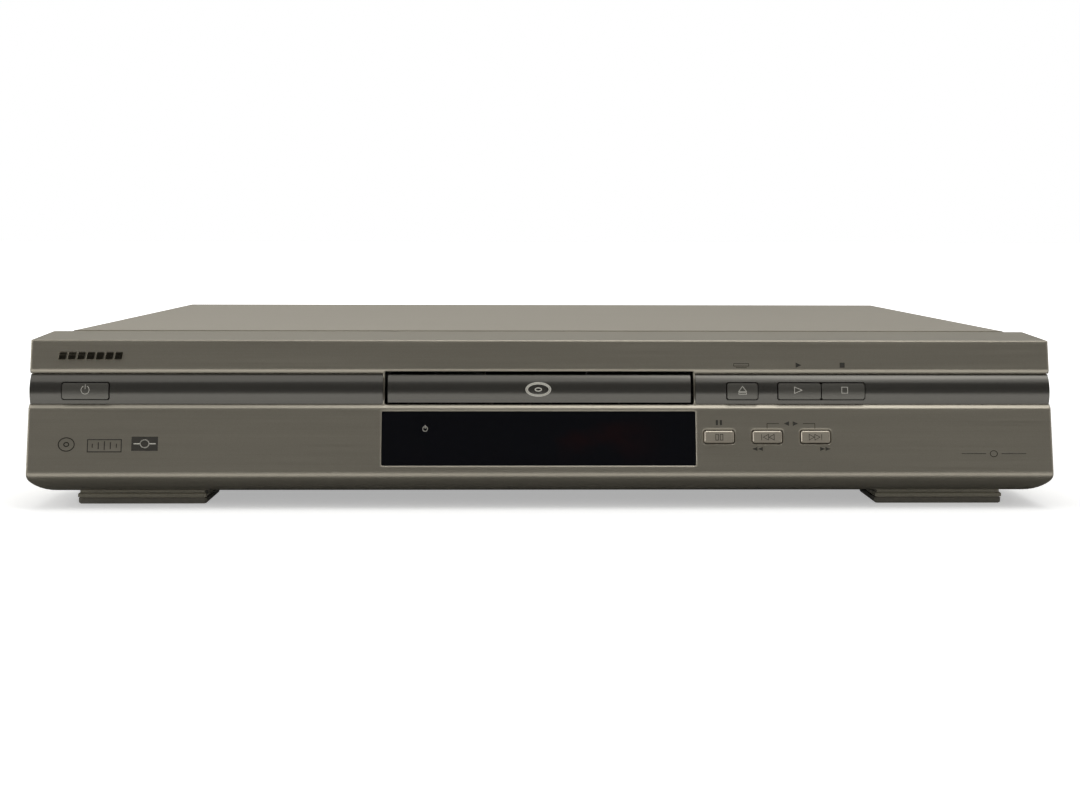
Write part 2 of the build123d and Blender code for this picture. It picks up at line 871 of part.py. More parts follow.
def foot_pads():
    """Rubber soles: the lower step of each foot."""
    pads = []
    for x, t in foot_places():
        pad = block(around(x, foot_width / 2), (t, t + foot_length), (0, pad_height))
        pad = chamfer(pad.edges().filter_by(Axis.Z), 1.0)
        pads.append(chamfer(pad.edges().group_by(Axis.Z)[0], 0.5))
    return Compound(children=pads)


def screw(place, shank_length):
    """Screw standing head up at the origin, then placed."""
    head = fastener(6, screw_head, screw_head_height)
    return place * (head + fastener(6, screw_shank, shank_length, -shank_length))


def case_screws():
    places = case_screw_places()
    length = case_screw_length
    screws = [screw(Pos(x, panel_rear, z) * Rot(-90, 0, 0), length) for x, z in places["base"]]
    screws += [screw(Pos(x, case_depth, z) * Rot(-90, 0, 0), length) for x, z in places["cover"]]
    for s, t in places["side"]:
        screws.append(screw(Pos(s * cover_half, t, side_screw_z) * Rot(0, 90 * s, 0), length))
    return Compound(children=screws)


def inner_screws():
    places = standoffs(main_board_x, main_board_t) + standoffs(power_board_x, power_board_t)
    screws = [screw(Pos(x, t, board_top), board - fit_gap) for x, t in places]
    return Compound(children=screws)


# ---------------------------------------------------------------- keys and front boards
def key_shape(x, z, cap_solid, flange_behind):
    """A cap in its hole, a flange behind the wall, and a stem that reaches its switch."""
    flange_x = grow(x, key_flange - key_gap)
    flange_z = grow(z, key_flange - key_gap)
    flange = lean_slab(flange_x, flange_z, (flange_behind, flange_behind + 1.2))
    centre_z = middle(z)
    tip_t = board_depth - switch_height + stem_entry
    stem_t = (face_t(centre_z, flange_behind + 0.6), tip_t)
    stem = block(around(middle(x), key_stem / 2), stem_t, around(centre_z, key_stem / 2))
    return cap_solid + flange + stem


def cap_bar(x, z, t):
    return cut_corner_bar(grow(x, -key_gap), grow(z, -key_gap), t, key_corner - key_gap / 4)


def band_key(name):
    """Key in the band: its front follows the band's curve, a little proud."""
    x = band_keys()[name]
    flange_behind = channel_depth + channel_wall + seam
    bar = cap_bar(x, band_key_z, (-5, lip_depth))
    front = side_solid(band_outline(band_key_proud, flange_behind + 0.5), x)
    flange_x = x
    if name == "play_button":
        flange_x = (x[0], x[1] - key_flange)
    if name == "stop_button":
        flange_x = (x[0] + key_flange, x[1])
    cap = front & bar
    return key_shape(flange_x, band_key_z, cap, flange_behind)


def panel_key(name):
    """Silver key in the lower panel with a chamfered rim."""
    x = panel_keys()[name]
    flange_behind = bezel_wall / cos(radians(face_lean)) + seam
    bar = cap_bar(x, panel_key_z, (-5, lip_depth))
    cap = lean_slab(x, grow(panel_key_z, -key_gap), (-key_proud, flange_behind + 0.5)) & bar
    front = cap.faces().sort_by(Axis.Y)[0]
    cap = chamfer(front.edges(), key_edge)
    return key_shape(x, panel_key_z, cap, flange_behind)


def key_centre(name):
    """Width and height of a key's stem."""
    if name in panel_keys():
        return middle(panel_keys()[name]), middle(panel_key_z)
    x = band_keys()[name]
    if name == "play_button":
        x = (x[0], x[1] - key_flange)
    if name == "stop_button":
        x = (x[0] + key_flange, x[1])
    return middle(x), middle(band_key_z)


def tact_switches():
    """One push switch behind each key; the stem's tip runs in its bore."""
    switches = []
    front = board_depth - switch_height
    for name in list(band_keys()) + list(panel_keys()):
        x, z = key_centre(name)
        body = block(around(x, switch_side / 2), (front, board_depth), around(z, switch_side / 2))
        half = key_stem / 2 + slide_gap
        bore = block(around(x, half), (front - 1, front + switch_bore_depth), around(z, half))
        switches.append(body - bore)
    return Compound(children=switches)


def front_board():
    """Circuit board behind the window and the right-hand keys."""
    low, high = front_board_z
    outline = Polyline(
        (front_board_x[0], low),
        (front_board_x[1], low),
        (front_board_x[1], front_board_raised_top),
        (front_board_raised_x, front_board_raised_top),
        (front_board_raised_x, high),
        (front_board_x[0], high),
        close=True,
    )
    rear = board_depth + board
    return extrude(Plane.XZ.offset(-rear) * make_face(outline), amount=board)


def key_board():
    return block(key_board_x, (board_depth, board_depth + board), key_board_z)


def display_tube():
    """Flat glass display standing on the front board."""
    t = (board_depth - display_depth, board_depth)
    glass = block(display_x, t, display_z)
    return chamfer(glass.edges().group_by(Axis.Y)[0], 0.8)


def remote_receiver():
    t = (board_depth - receiver_depth, board_depth)
    body = block(around(receiver_x, receiver_side / 2), t, around(receiver_z, receiver_side / 2))
    return chamfer(body.edges().group_by(Axis.Y)[0], 1.0)


def standby_lamp():
    return rod_t(lamp_x, (board_depth - lamp_length, board_depth), lamp_z, lamp_radius)


# ---------------------------------------------------------------- gears
def gear_outline(teeth, module, turn):
    """Closed outline of a spur gear with straight-sided teeth, one tooth pointing along turn."""
    pitch = teeth * module / 2
    half = (pi * module / 2 - tooth_backlash) / 2
    addendum = 0.9 * module
    dedendum = 1.2 * module
    flank = tan(radians(20))
    tip = atan2(half - addendum * flank, pitch + addendum)
    root = atan2(half + dedendum * flank, pitch - dedendum)
    inner, outer = pitch - dedendum, pitch + addendum
    tooth = ((-root, inner), (-tip, outer), (tip, outer), (root, inner))
    points = []
    for number in range(teeth):
        centre = radians(turn) + 2 * pi * number / teeth
        points += [(radius * cos(centre + way), radius * sin(centre + way)) for way, radius in tooth]
    return Polyline(*points, close=True)


def gear_blank(teeth, module, turn, x, t, z):
    return plan_solid(Pos(x, t) * gear_outline(teeth, module, turn), z)


def drive_gear():
    """Large wheel with the pinion above it that drives the tray's rack."""
    wheel = gear_blank(wheel_teeth, wheel_module, pulley_gear_turn, gear_x, gear_t, wheel_z)
    pinion = gear_blank(pinion_teeth, rack_module, 180, gear_x, gear_t, pinion_z)
    body = wheel + pinion
    bore_z = (wheel_z[0] - 1, pinion_z[1] + 1)
    return body - flat_sided(gear_x, gear_t, bore_z, gear_post_radius + slide_gap, 12)


def pulley(x, t, radius, z):
    """Belt pulley with a lip below the belt."""
    lip = turned_z(x, t, (z[0], z[0] + pulley_lip_height), radius, 30)
    return lip + turned_z(x, t, z, radius - pulley_lip, 30)


def pulley_gear():
    turn = pulley_gear_turn + 180 + 180 / small_pinion_teeth
    pinion_height = (pulley_z[1], wheel_z[1])
    pinion = gear_blank(small_pinion_teeth, wheel_module, turn, pulley_x, pulley_t, pinion_height)
    body = pulley(pulley_x, pulley_t, pulley_radius, pulley_z) + pinion
    bore_z = (pulley_z[0] - 1, wheel_z[1] + 1)
    bore = flat_sided(pulley_x, pulley_t, bore_z, small_post_radius + slide_gap, 12)
    return body - bore


def motor_pulley():
    """Small pulley on the loading motor's shaft."""
    shaft_z = (motor_top - motor_shaft_depth, pulley_z[1])
    shaft = turned_z(motor_x, motor_t, shaft_z, shaft_radius, 8)
    return pulley(motor_x, motor_t, motor_pulley_radius, pulley_z) + shaft


def drive_belt():
    """Square rubber belt round both pulleys."""
    z = around(middle(pulley_z), belt_side / 2)
    distance = motor_x - pulley_x
    big = pulley_radius - pulley_lip + belt_gap
    small = motor_pulley_radius - pulley_lip + belt_gap
    loops = []
    for extra in (belt_side, 0):
        wide, narrow = big + extra, small + extra
        tilt = degrees(atan2(wide - narrow, sqrt(distance**2 - (wide - narrow) ** 2)))
        corners = arc_corners((pulley_x, pulley_t), wide, 90 - tilt, 270 + tilt)
        corners += arc_corners((motor_x, motor_t), narrow, 270 + tilt, 450 - tilt)
        loops.append(plan_solid(Polyline(*corners, close=True), z))
    return loops[0] - loops[1]


def loading_motor():
    can = turned_z(motor_x, motor_t, (loader_floor[1], motor_top), loading_motor_radius)
    bore_z = (motor_top - motor_bore_depth, motor_top + 1)
    return can - flat_sided(motor_x, motor_t, bore_z, shaft_radius + slide_gap, 8)


# ---------------------------------------------------------------- tray
def rack_outline():
    """Rack along the tray: a gap stands at the drive gear, teeth point to the right."""
    pitch = pi * rack_module
    half = (pitch / 2 - tooth_backlash) / 2
    flank = tan(radians(20))
    tip_x = rack_x + 0.9 * rack_module
    root_x = rack_x - 1.2 * rack_module
    tip_half = half - 0.9 * rack_module * flank
    root_half = half + 1.2 * rack_module * flank
    count = int((tray_travel + 4 * pitch) / pitch) + 1
    first = gear_t - 1.5 * pitch
    points = [(root_x - rack_back, first - pitch)]
    for number in range(count):
        centre = first + number * pitch
        for x, t in ((root_x, -root_half), (tip_x, -tip_half), (tip_x, tip_half), (root_x, root_half)):
            points.append((x, centre + t))
    points.append((root_x - rack_back, first + count * pitch))
    return Polyline(*points, close=True)


def disc_tray():
    """Moulded tray: two stepped disc recesses, an open slot for the traverse, and the rack below."""
    x = around(tray_centre, tray_half)
    t = (tray_front, tray_rear)
    body = block(x, t, tray_z)
    body = chamfer(body.edges().filter_by(Axis.Z), tray_corner)
    inside_x = grow(x, -tray_wall)
    body -= block(inside_x, (tray_front + tray_wall, tray_rear + 1), (tray_z[0] - 1, tray_plate_under))
    rear_start = disc_t + disc_recess_radius + tray_wall
    body -= block(inside_x, (rear_start, tray_rear + 1), (tray_rear_top, tray_z[1] + 1))
    body -= rod_z(tray_centre, disc_t, (disc_recess_floor, tray_z[1] + 1), disc_recess_radius)
    body -= rod_z(tray_centre, disc_t, (small_recess_floor, tray_z[1] + 1), small_recess_radius)
    slot = rod_z(tray_centre, disc_t, (tray_z[0] - 1, tray_z[1] + 1), tray_slot_half)
    slot += block(around(tray_centre, tray_slot_half), (disc_t, tray_rear + 1), grow(tray_z, 1))
    body -= slot
    for side in (-1, 1):
        notch_x = tray_centre + side * (disc_recess_radius - finger_notch_radius * 0.75)
        notch_t = disc_t - disc_recess_radius + finger_notch_radius * 1.1
        body -= rod_z(notch_x, notch_t, (small_recess_floor, tray_z[1] + 1), finger_notch_radius)
    rack_z = (tray_plate_under - slide_gap - rack_teeth_height, tray_plate_under)
    return body + plan_solid(rack_outline(), rack_z)


def tray_door():
    """Front of the tray, with the same convex section as the band."""
    outline = band_outline(0, band_back)
    front = side_solid(outline, around(tray_centre, door_half))
    back = side_solid(
        Polyline(
            (face_t(band_z[0], band_back - 0.4), band_z[0]),
            (face_t(band_z[1], band_back - 0.4), band_z[1]),
            (door_back, band_z[1]),
            (door_back, band_z[0]),
            close=True,
        ),
        around(tray_centre, door_half),
    )
    door = front + back
    return door & block(around(tray_centre, door_half), (0, door_back), door_z)


# ---------------------------------------------------------------- loader frame
def loader_frame():
    """Moulded frame: walls that guide the tray, gear posts, cam guides and hinge bearings."""
    outer_x = around(tray_centre, loader_outer)
    t = (loader_front, loader_rear)
    frame = block(outer_x, t, (loader_floor[0], loader_side_top))
    frame -= block(around(tray_centre, loader_inner), grow(t, 1), (loader_floor[1], loader_side_top + 1))
    frame -= block(around(tray_centre, floor_window_half), floor_window_t, grow(loader_floor, 1))
    frame += block(outer_x, (t[0], t[0] + loader_end_wall), (loader_floor[1], loader_front_top))
    frame += block(outer_x, (t[1] - loader_end_wall, t[1]), (loader_floor[1], loader_rear_top))
    for side in (-1, 1):
        ledge_x = sided(side, tray_centre, loader_inner - rail_ledge, loader_inner + 1)
        frame += block(ledge_x, t, (rail_top - rail_ledge_height, rail_top))
        lip_z = (loader_side_top - guide_lip_height, loader_side_top)
        frame += block(ledge_x, (t[0], t[0] + guide_lip_length), lip_z)
        bearing_x = sided(side, tray_centre, trunnion_end - bearing_wall, trunnion_end)
        half = trunnion_radius + slide_gap + bush_wall + fit_gap
        bearing = block(bearing_x, around(hinge_t, half + 2), (loader_floor[1], hinge_z + half + 2))
        frame += bearing - block(grow(bearing_x, 1), around(hinge_t, half), around(hinge_z, half))
    frame += gear_posts() + cam_guides()
    for x, ft in loader_feet():
        frame += block(around(x, loader_foot / 2), around(ft, loader_foot / 2), (base_top, loader_floor[0]))
    return frame


def gear_posts():
    shoulder_z = (loader_floor[1], wheel_z[0] - slide_gap)
    shoulder = flat_sided(gear_x, gear_t, shoulder_z, gear_post_radius + post_shoulder, 8)
    post = rod_z(gear_x, gear_t, (loader_floor[1], pinion_z[1]), gear_post_radius)
    small_z = (loader_floor[1], pulley_z[0] - slide_gap)
    small_shoulder = flat_sided(pulley_x, pulley_t, small_z, small_post_radius + post_shoulder, 8)
    small_post = rod_z(pulley_x, pulley_t, (loader_floor[1], wheel_z[1] + 0.5), small_post_radius)
    return shoulder + post + small_shoulder + small_post


def cam_guides():
    """Two ribs on the floor that the cam slider runs between."""
    x = around(tray_centre, loader_inner)
    z = (loader_floor[0] + 1, loader_floor[1] + cam_rib_height)
    front = block(x, (cam_t[0] - slide_gap - cam_rib, cam_t[0] - slide_gap), z)
    rear = block(x, (cam_t[1] + slide_gap, cam_t[1] + slide_gap + cam_rib), z)
    return front + rear


def pivot_bushes():
    """Rubber blocks in the hinge bearings, bored for the trunnions."""
    bushes = []
    for side in (-1, 1):
        x = sided(side, tray_centre, trunnion_end - bearing_wall, trunnion_end)
        inner = trunnion_radius + slide_gap
        half = inner + bush_wall
        sleeve = block(x, around(hinge_t, half), around(hinge_z, half))
        bushes.append(sleeve - rod_x(grow(x, 1), hinge_t, hinge_z, inner))
    return Compound(children=bushes)


def cam_slider():
    """Sliding plate whose sloping slot lifts the traverse as it moves to the right."""
    plate = block(around(tray_centre, cam_half), cam_t, (cam_bottom, cam_top))
    tilt = degrees(atan2(cam_rise, -cam_travel))
    length = hypot(cam_rise, cam_travel) + 2 * cam_slot_slack
    middle_x = tray_centre - cam_travel / 2
    middle_z = cam_low_z + cam_rise / 2
    slot = SlotCenterToCenter(length, 2 * (cam_pin_radius + cam_slot_slack), rotation=tilt)
    cutter = prism_t(Pos(middle_x, middle_z) * slot, grow(cam_t, 1))
    relief_x = (tray_centre + cam_relief_start, tray_centre + cam_half - cam_relief_wall)
    relief_z = (cam_bottom + cam_relief_wall, cam_top - cam_relief_wall)
    return plate - cutter - block(relief_x, grow(cam_t, 1), relief_z)


# ---------------------------------------------------------------- traverse, drawn raised
def traverse_chassis():
    """Steel sub-frame that carries the disc motor and the pickup, hinged at its rear."""
    x = around(tray_centre, traverse_half)
    t = (traverse_front, traverse_rear)
    plate = block(x, t, traverse_plate_z)
    window_t = (disc_t + spindle_motor_radius + 2, rail_rear - rail_post - 1)
    plate -= block(around(tray_centre, pickup_window_half), window_t, grow(traverse_plate_z, 1))
    flange_t = (traverse_front + traverse_flange_setback, traverse_rear)
    lug_t = (hinge_t - 2 * lug_width, hinge_t + lug_width)
    for side in (-1, 1):
        flange_x = sided(side, tray_centre, traverse_half - traverse_flange, traverse_half)
        plate += block(flange_x, flange_t, (traverse_plate_z[0], traverse_flange_top))
        lug_x = sided(side, tray_centre, traverse_half - lug_width, traverse_half)
        plate += block(lug_x, lug_t, (hinge_z - lug_below, traverse_plate_z[1]))
        pin_x = sided(side, tray_centre, traverse_half - 1, trunnion_end)
        plate += rod_x(pin_x, hinge_t, hinge_z, trunnion_radius)
        for end in (rail_front, rail_rear - rail_post):
            post_x = around(tray_centre + side * rail_half_spacing, rail_post_half)
            post_z = (traverse_plate_z[1] - 0.5, rail_z - rail_radius - fit_gap)
            plate += block(post_x, (end, end + rail_post), post_z)
    tab_t = (traverse_front, traverse_front + tab_thickness)
    tab_z = (cam_pin_z - tab_below, traverse_plate_z[0] + 0.5)
    plate += block(around(tray_centre, tab_half), tab_t, tab_z)
    plate += rod_t(tray_centre, (cam_t[0] - 0.5, traverse_front + 1), cam_pin_z, cam_pin_radius)
    half = screw_radius + slide_gap
    wall = half + screw_bearing_wall
    bearing_t = (rail_front, rail_front + rail_post)
    bearing_z = (traverse_plate_z[1] - 0.5, screw_z + wall)
    bearing = block(around(tray_centre + screw_x, wall), bearing_t, bearing_z)
    bearing -= block(around(tray_centre + screw_x, half), grow(bearing_t, 1), around(screw_z, half))
    return plate + bearing


def spindle_motor():
    z = (traverse_plate_z[1], spindle_motor_top)
    can = turned_z(tray_centre, disc_t, z, spindle_motor_radius)
    bore_z = (z[1] - spindle_bore_depth, z[1] + 1)
    return can - flat_sided(tray_centre, disc_t, bore_z, shaft_radius + slide_gap, 8)


def turntable():
    """Disc seat with its centring cone, on the disc motor's shaft."""
    seat_bottom = seat_z - seat_thickness
    shaft_z = (spindle_motor_top - spindle_shaft_depth, seat_bottom + 1)
    shaft = rod_z(tray_centre, disc_t, shaft_z, shaft_radius)
    seat = turned_z(tray_centre, disc_t, (seat_bottom, seat_z), seat_radius)
    cone = turned_z(tray_centre, disc_t, (seat_z - 1, seat_z + cone_height), cone_radius, 24)
    return shaft + seat + cone


def guide_rails():
    t = (rail_front, rail_rear)
    rails = [rod_t(tray_centre + side * rail_half_spacing, t, rail_z, rail_radius) for side in (-1, 1)]
    return Compound(children=rails)


def pickup_body():
    """Die-cast carriage: a bore on the left rail, an open fork on the right one."""
    x = around(tray_centre, pickup_half)
    t = (pickup_t - pickup_front_reach, pickup_t + pickup_rear_reach)
    body = block(x, t, pickup_z)
    corner_t = (t[0] - 1, t[0] + pickup_corner)
    for side in (-1, 1):
        notch_x = sided(side, tray_centre, pickup_nose_half, pickup_half + 1)
        body -= block(notch_x, corner_t, grow(pickup_z, 1))
    left = tray_centre - rail_half_spacing
    body -= rod_t(left, grow(t, 1), rail_z, rail_radius + slide_gap)
    fork_x = (tray_centre + rail_half_spacing - 2 * rail_radius, x[1] + 1)
    body -= block(fork_x, grow(t, 1), around(rail_z, rail_radius + slide_gap))
    pocket_t = (pickup_t + pickup_pocket[1], t[1] - pickup_pocket_wall)
    pocket_z = (pickup_z[1] - pickup_pocket[2], pickup_z[1] + 1)
    body -= block(around(tray_centre, pickup_pocket[0] / 2), pocket_t, pocket_z)
    nut_x = (x[1] - 2, tray_centre + screw_x - screw_radius - slide_gap)
    nut_z = (pickup_z[0], rail_z - rail_radius - slide_gap)
    return body + block(nut_x, (pickup_t, pickup_t + pickup_nut), nut_z)


def pickup_lens():
    z = (pickup_z[1], lens_top)
    half = lens_radius + 2
    holder = block(around(tray_centre, half), around(pickup_t, half + 1), (z[0], z[1] - 0.8))
    return holder + turned_z(tray_centre, pickup_t, z, lens_radius, 20)


def feed_motor():
    outline = Pos(tray_centre + screw_x, screw_z) * RegularPolygon(feed_motor_radius, 24)
    can = prism_t(outline, feed_motor_t)
    half = screw_radius + slide_gap
    shaft_t = (feed_motor_t[0] - 1, feed_motor_t[0] + motor_bore_depth)
    return can - block(around(tray_centre + screw_x, half), shaft_t, around(screw_z, half))


def feed_screw():
    t = (rail_front + 0.5, feed_motor_t[0] + motor_shaft_depth)
    return rod_t(tray_centre + screw_x, t, screw_z, screw_radius)


# ---------------------------------------------------------------- clamper
def clamper_bridge():
    """Pressed strip across the loader that holds the magnetic clamp over the disc."""
    strip = block(around(tray_centre, loader_outer), bridge_t, bridge_z)
    for edge in ((bridge_t[0], bridge_t[0] + sheet), (bridge_t[1] - sheet, bridge_t[1])):
        rib_x = around(tray_centre, loader_inner - 4)
        strip += block(rib_x, edge, (bridge_z[0], bridge_z[1] + bridge_rib))
    return strip - rod_z(tray_centre, disc_t, grow(bridge_z, 1), bridge_hole)


def clamp_disc():
    """Magnetic clamp: a disc whose neck turns in the bridge's hole, held up by a cross-bar."""
    low = turned_z(tray_centre, disc_t, (puck_bottom, puck_neck_z[0]), puck_radius)
    neck_z = (puck_bottom, puck_neck_z[1] + puck_flange / 2)
    neck = turned_z(tray_centre, disc_t, neck_z, puck_neck, 24)
    bar_t = around(disc_t, puck_hook / 2)
    bar = block(around(tray_centre, puck_radius), bar_t, (puck_neck_z[1], puck_neck_z[1] + puck_flange))
    return low + neck + bar


# ---------------------------------------------------------------- electronics
def circuit_board(x, t):
    body = block(x, t, (board_z, board_z + board))
    for px, pt in standoffs(x, t):
        body -= hole_z(px, pt, (board_z - 1, board_top + 1), screw_shank + screw_clearance)
    return body


def main_board():
    return circuit_board(main_board_x, main_board_t)


def power_board():
    return circuit_board(power_board_x, power_board_t)


def board_place(x, t, shares):
    """A place on a board, given as shares of its width and depth."""
    return x[0] + shares[0] * span(x), t[0] + shares[1] * span(t)


def on_board(x, t, part):
    """A component of a stated place, width, depth and height, standing on a board."""
    px, pt = board_place(x, t, part)
    wide, deep, tall = part[2:]
    return block(around(px, wide / 2), around(pt, deep / 2), (board_top, board_top + tall))


def decoder_chips():
    chips = [on_board(main_board_x, main_board_t, chip) for chip in (decoder_chip, *memory_chips)]
    return Compound(children=chips)


def decoder_heatsink():
    """Finned block on the decoder."""
    x, t = board_place(main_board_x, main_board_t, decoder_chip)
    low = board_top + decoder_chip[-1]
    deep = around(t, heatsink_side / 2)
    body = block(around(x, heatsink_side / 2), deep, (low, low + heatsink_base))
    for step in range(fin_count):
        fin_x = x + (step - (fin_count - 1) / 2) * fin_pitch
        body += block(around(fin_x, fin_thickness / 2), deep, (low, low + heatsink_base + fin_height))
    return body


def transformer():
    """Switching transformer: ferrite core with a winding between its legs."""
    core = on_board(power_board_x, power_board_t, transformer_core)
    winding = on_board(power_board_x, power_board_t, (*transformer_core[:2], *transformer_winding))
    return core + Pos(0, 0, winding_lift) * winding


def power_capacitors():
    cans = []
    for part in capacitors:
        x, t = board_place(power_board_x, power_board_t, part)
        radius, tall = part[2:]
        cans.append(turned_z(x, t, (board_top, board_top + tall), radius, capacitor_sides))
    return Compound(children=cans)


def power_heatsink():
    """Folded aluminium plate."""
    plate = on_board(power_board_x, power_board_t, power_plate)
    x, t = board_place(power_board_x, power_board_t, power_plate)
    wide, deep, tall = power_plate[2:]
    fold_x = (x - wide / 2, x - wide / 2 + power_plate_foot)
    return plate + block(fold_x, around(t, deep / 2), (board_top + tall - wide, board_top + tall))


def av_jack_block():
    """Moulded carrier of the phono jacks, with each jack's insulating core."""
    x, z = socket_faces()[0]
    body = block(x, (panel_front - jack_block_depth, panel_front - fit_gap), (board_top, z[1] + 1))
    body += block(x, (panel_front - 1, case_depth), z)
    core = RegularPolygon(jack_shell_radius - jack_shell_wall - 2 * fit_gap, jack_sides)
    for px in jack_x:
        for pz in jack_z:
            body += prism_t(Pos(px, pz) * core, (case_depth - 1, jack_end - jack_face))
    return body


def socket_metal():
    """Nickel-plated pieces of the sockets: the phono jacks' shells and the inlet's pins."""
    jack_t = (case_depth, jack_end)
    inside = RegularPolygon(jack_shell_radius - jack_shell_wall, jack_sides)
    pieces = []
    for x in jack_x:
        for z in jack_z:
            shell = rod_t(x, jack_t, z, jack_shell_radius)
            pieces.append(shell - prism_t(Pos(x, z) * inside, grow(jack_t, 1)))
    for side in (-1, 1):
        pin_x = inlet_x + side * inlet_pin_spacing / 2
        pin_t = (inlet_rear - inlet_cavity[2], inlet_rear - inlet_pin_sunk)
        pieces.append(prism_t(Pos(pin_x, inlet_z) * RegularPolygon(inlet_pin_radius, 8), pin_t))
    return Compound(children=pieces)


def socket_body(x):
    """Square socket housing on the main board, its face standing through the rear panel."""
    z = (board_top, socket_z + socket_side / 2)
    body = block(around(x, socket_side / 2), (panel_front - jack_block_depth, case_depth), z)
    below = (0, socket_z - socket_side / 2)
    return body - block(around(x, socket_side), (panel_front - fit_gap, case_depth + 1), below)


def s_video_jack():
    collar_t = (case_depth - 1, case_depth + s_video_standout)
    collar = prism_t(Pos(s_video_x, socket_z) * RegularPolygon(s_video_radius, 24), collar_t)
    return socket_body(s_video_x) + collar


def optical_jack():
    """Optical outlet with its recessed square door."""
    door_t = (case_depth - optical_door_depth, case_depth + 1)
    door = block(around(optical_x, optical_door / 2), door_t, around(socket_z, optical_door / 2))
    return socket_body(optical_x) - door


def power_inlet():
    """Two-pole mains inlet: a stadium-shaped socket with two pins."""
    x = around(inlet_x, inlet_half_width)
    body = block(x, (inlet_rear - inlet_depth, inlet_rear), (board_top, inlet_z + inlet_half_height))
    below = (0, inlet_z - inlet_half_height)
    body -= block(grow(x, 1), (panel_front - fit_gap, inlet_rear + 1), below)
    wide, tall, deep = inlet_cavity
    cavity_t = (inlet_rear - deep, inlet_rear + 1)
    return body - rounded_bar(around(inlet_x, wide / 2), around(inlet_z, tall / 2), cavity_t, tall * 0.45)


# ---------------------------------------------------------------- wiring inside the case
def front_ribbon():
    """Flat cable from the front board, along the floor, up to its plug on the main board."""
    inset, deep, tall = ribbon_plug
    start = (board_depth + board + fit_gap, front_board_z[0] + ribbon_start_up)
    plug_t = (main_board_t[0] + inset, main_board_t[0] + inset + deep)
    plug_z = (board_top, board_top + tall)
    end = (plug_t[0], plug_z[0] + ribbon_plug_entry)
    level, down = ribbon_front_runs
    up, along = ribbon_rear_runs
    corners = [start, (start[0] + level, start[1]), (start[0] + down, ribbon_low)]
    corners += [(end[0] - along, ribbon_low), (end[0] - up, end[1]), end]
    line = FilletPolyline(*corners, radius=ribbon_bend)
    strip = extrude(Plane.YZ.offset(ribbon_x[0]) * trace(line, ribbon), amount=span(ribbon_x))
    return strip + block(grow(ribbon_x, 1), plug_t, plug_z)


# ---------------------------------------------------------------- set down and write
def lowered(shape):
    """Turn a piece of the traverse about its hinge to the resting, lowered position."""
    hinge = Axis((0, hinge_t, hinge_z), (1, 0, 0))
    return shape.rotate(hinge, drop_angle)


resting_pieces = [
    chassis_base, rear_panel, top_cover, front_bezel, band_left, band_right, display_window,
    front_feet, rear_feet, foot_pads, case_screws, inner_screws,
    front_board, key_board, display_tube, tact_switches, remote_receiver, standby_lamp,
    loader_frame, pivot_bushes, disc_tray, tray_door, loading_motor, motor_pulley, drive_belt,
    pulley_gear, drive_gear, cam_slider, clamper_bridge, clamp_disc,
    main_board, power_board, decoder_chips, decoder_heatsink, transformer, power_capacitors,
    power_heatsink, av_jack_block, socket_metal, s_video_jack, optical_jack, power_inlet,
    front_ribbon,
]

traverse_pieces = [
    traverse_chassis, spindle_motor, turntable, guide_rails, pickup_body, pickup_lens,
    feed_motor, feed_screw,
]

for make in resting_pieces:
    save(make.__name__, make())
for make in traverse_pieces:
    save(make.__name__, lowered(make()))
for key in band_keys():
    save(key, band_key(key))
for key in panel_keys():
    save(key, panel_key(key))
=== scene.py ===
from math import cos, pi, radians, sin, sqrt, tan

import bmesh
import bpy
from mathutils import Matrix, Vector

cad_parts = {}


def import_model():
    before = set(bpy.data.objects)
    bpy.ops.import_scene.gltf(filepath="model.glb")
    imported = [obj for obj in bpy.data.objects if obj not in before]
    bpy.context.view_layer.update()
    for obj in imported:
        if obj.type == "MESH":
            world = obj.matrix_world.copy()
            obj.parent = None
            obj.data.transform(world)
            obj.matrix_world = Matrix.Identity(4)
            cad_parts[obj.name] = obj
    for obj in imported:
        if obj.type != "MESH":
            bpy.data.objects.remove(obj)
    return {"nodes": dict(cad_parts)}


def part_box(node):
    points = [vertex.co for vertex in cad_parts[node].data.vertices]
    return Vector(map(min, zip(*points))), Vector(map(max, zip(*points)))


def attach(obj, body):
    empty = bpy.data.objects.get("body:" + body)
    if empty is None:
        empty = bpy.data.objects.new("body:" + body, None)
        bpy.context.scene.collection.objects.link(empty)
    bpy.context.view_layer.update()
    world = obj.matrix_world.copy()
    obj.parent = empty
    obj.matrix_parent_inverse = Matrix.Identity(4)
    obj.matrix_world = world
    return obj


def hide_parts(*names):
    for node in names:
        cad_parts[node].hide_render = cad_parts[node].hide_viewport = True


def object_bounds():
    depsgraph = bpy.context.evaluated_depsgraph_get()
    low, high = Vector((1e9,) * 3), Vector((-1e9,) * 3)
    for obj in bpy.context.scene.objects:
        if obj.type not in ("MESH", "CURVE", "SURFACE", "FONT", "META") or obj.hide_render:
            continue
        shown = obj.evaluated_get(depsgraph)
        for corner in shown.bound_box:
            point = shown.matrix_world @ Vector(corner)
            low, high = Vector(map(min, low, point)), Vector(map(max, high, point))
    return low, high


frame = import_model()
cad_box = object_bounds()
nodes = frame["nodes"]

# The player's frame, in metres: +X right, -Y out of the front, +Z up, floor at 0.
mm = 0.001

# ---------------------------------------------------------------- the leaning face
face_lean = radians(13.9)
face_foot_y = cad_box[0].y + 0.146 * mm
face_foot_z = 15.99 * mm
key_proud = 0.7 * mm
band_edge_depth = 1.45 * mm
band_bulge = 1.85 * mm
band_key_proud = 0.45 * mm
window_sunk = 0.25 * mm
ink = 0.04 * mm

band_keys = ("power", "open_close", "play", "stop")
panel_keys = ("pause", "skip_back", "skip_forward")

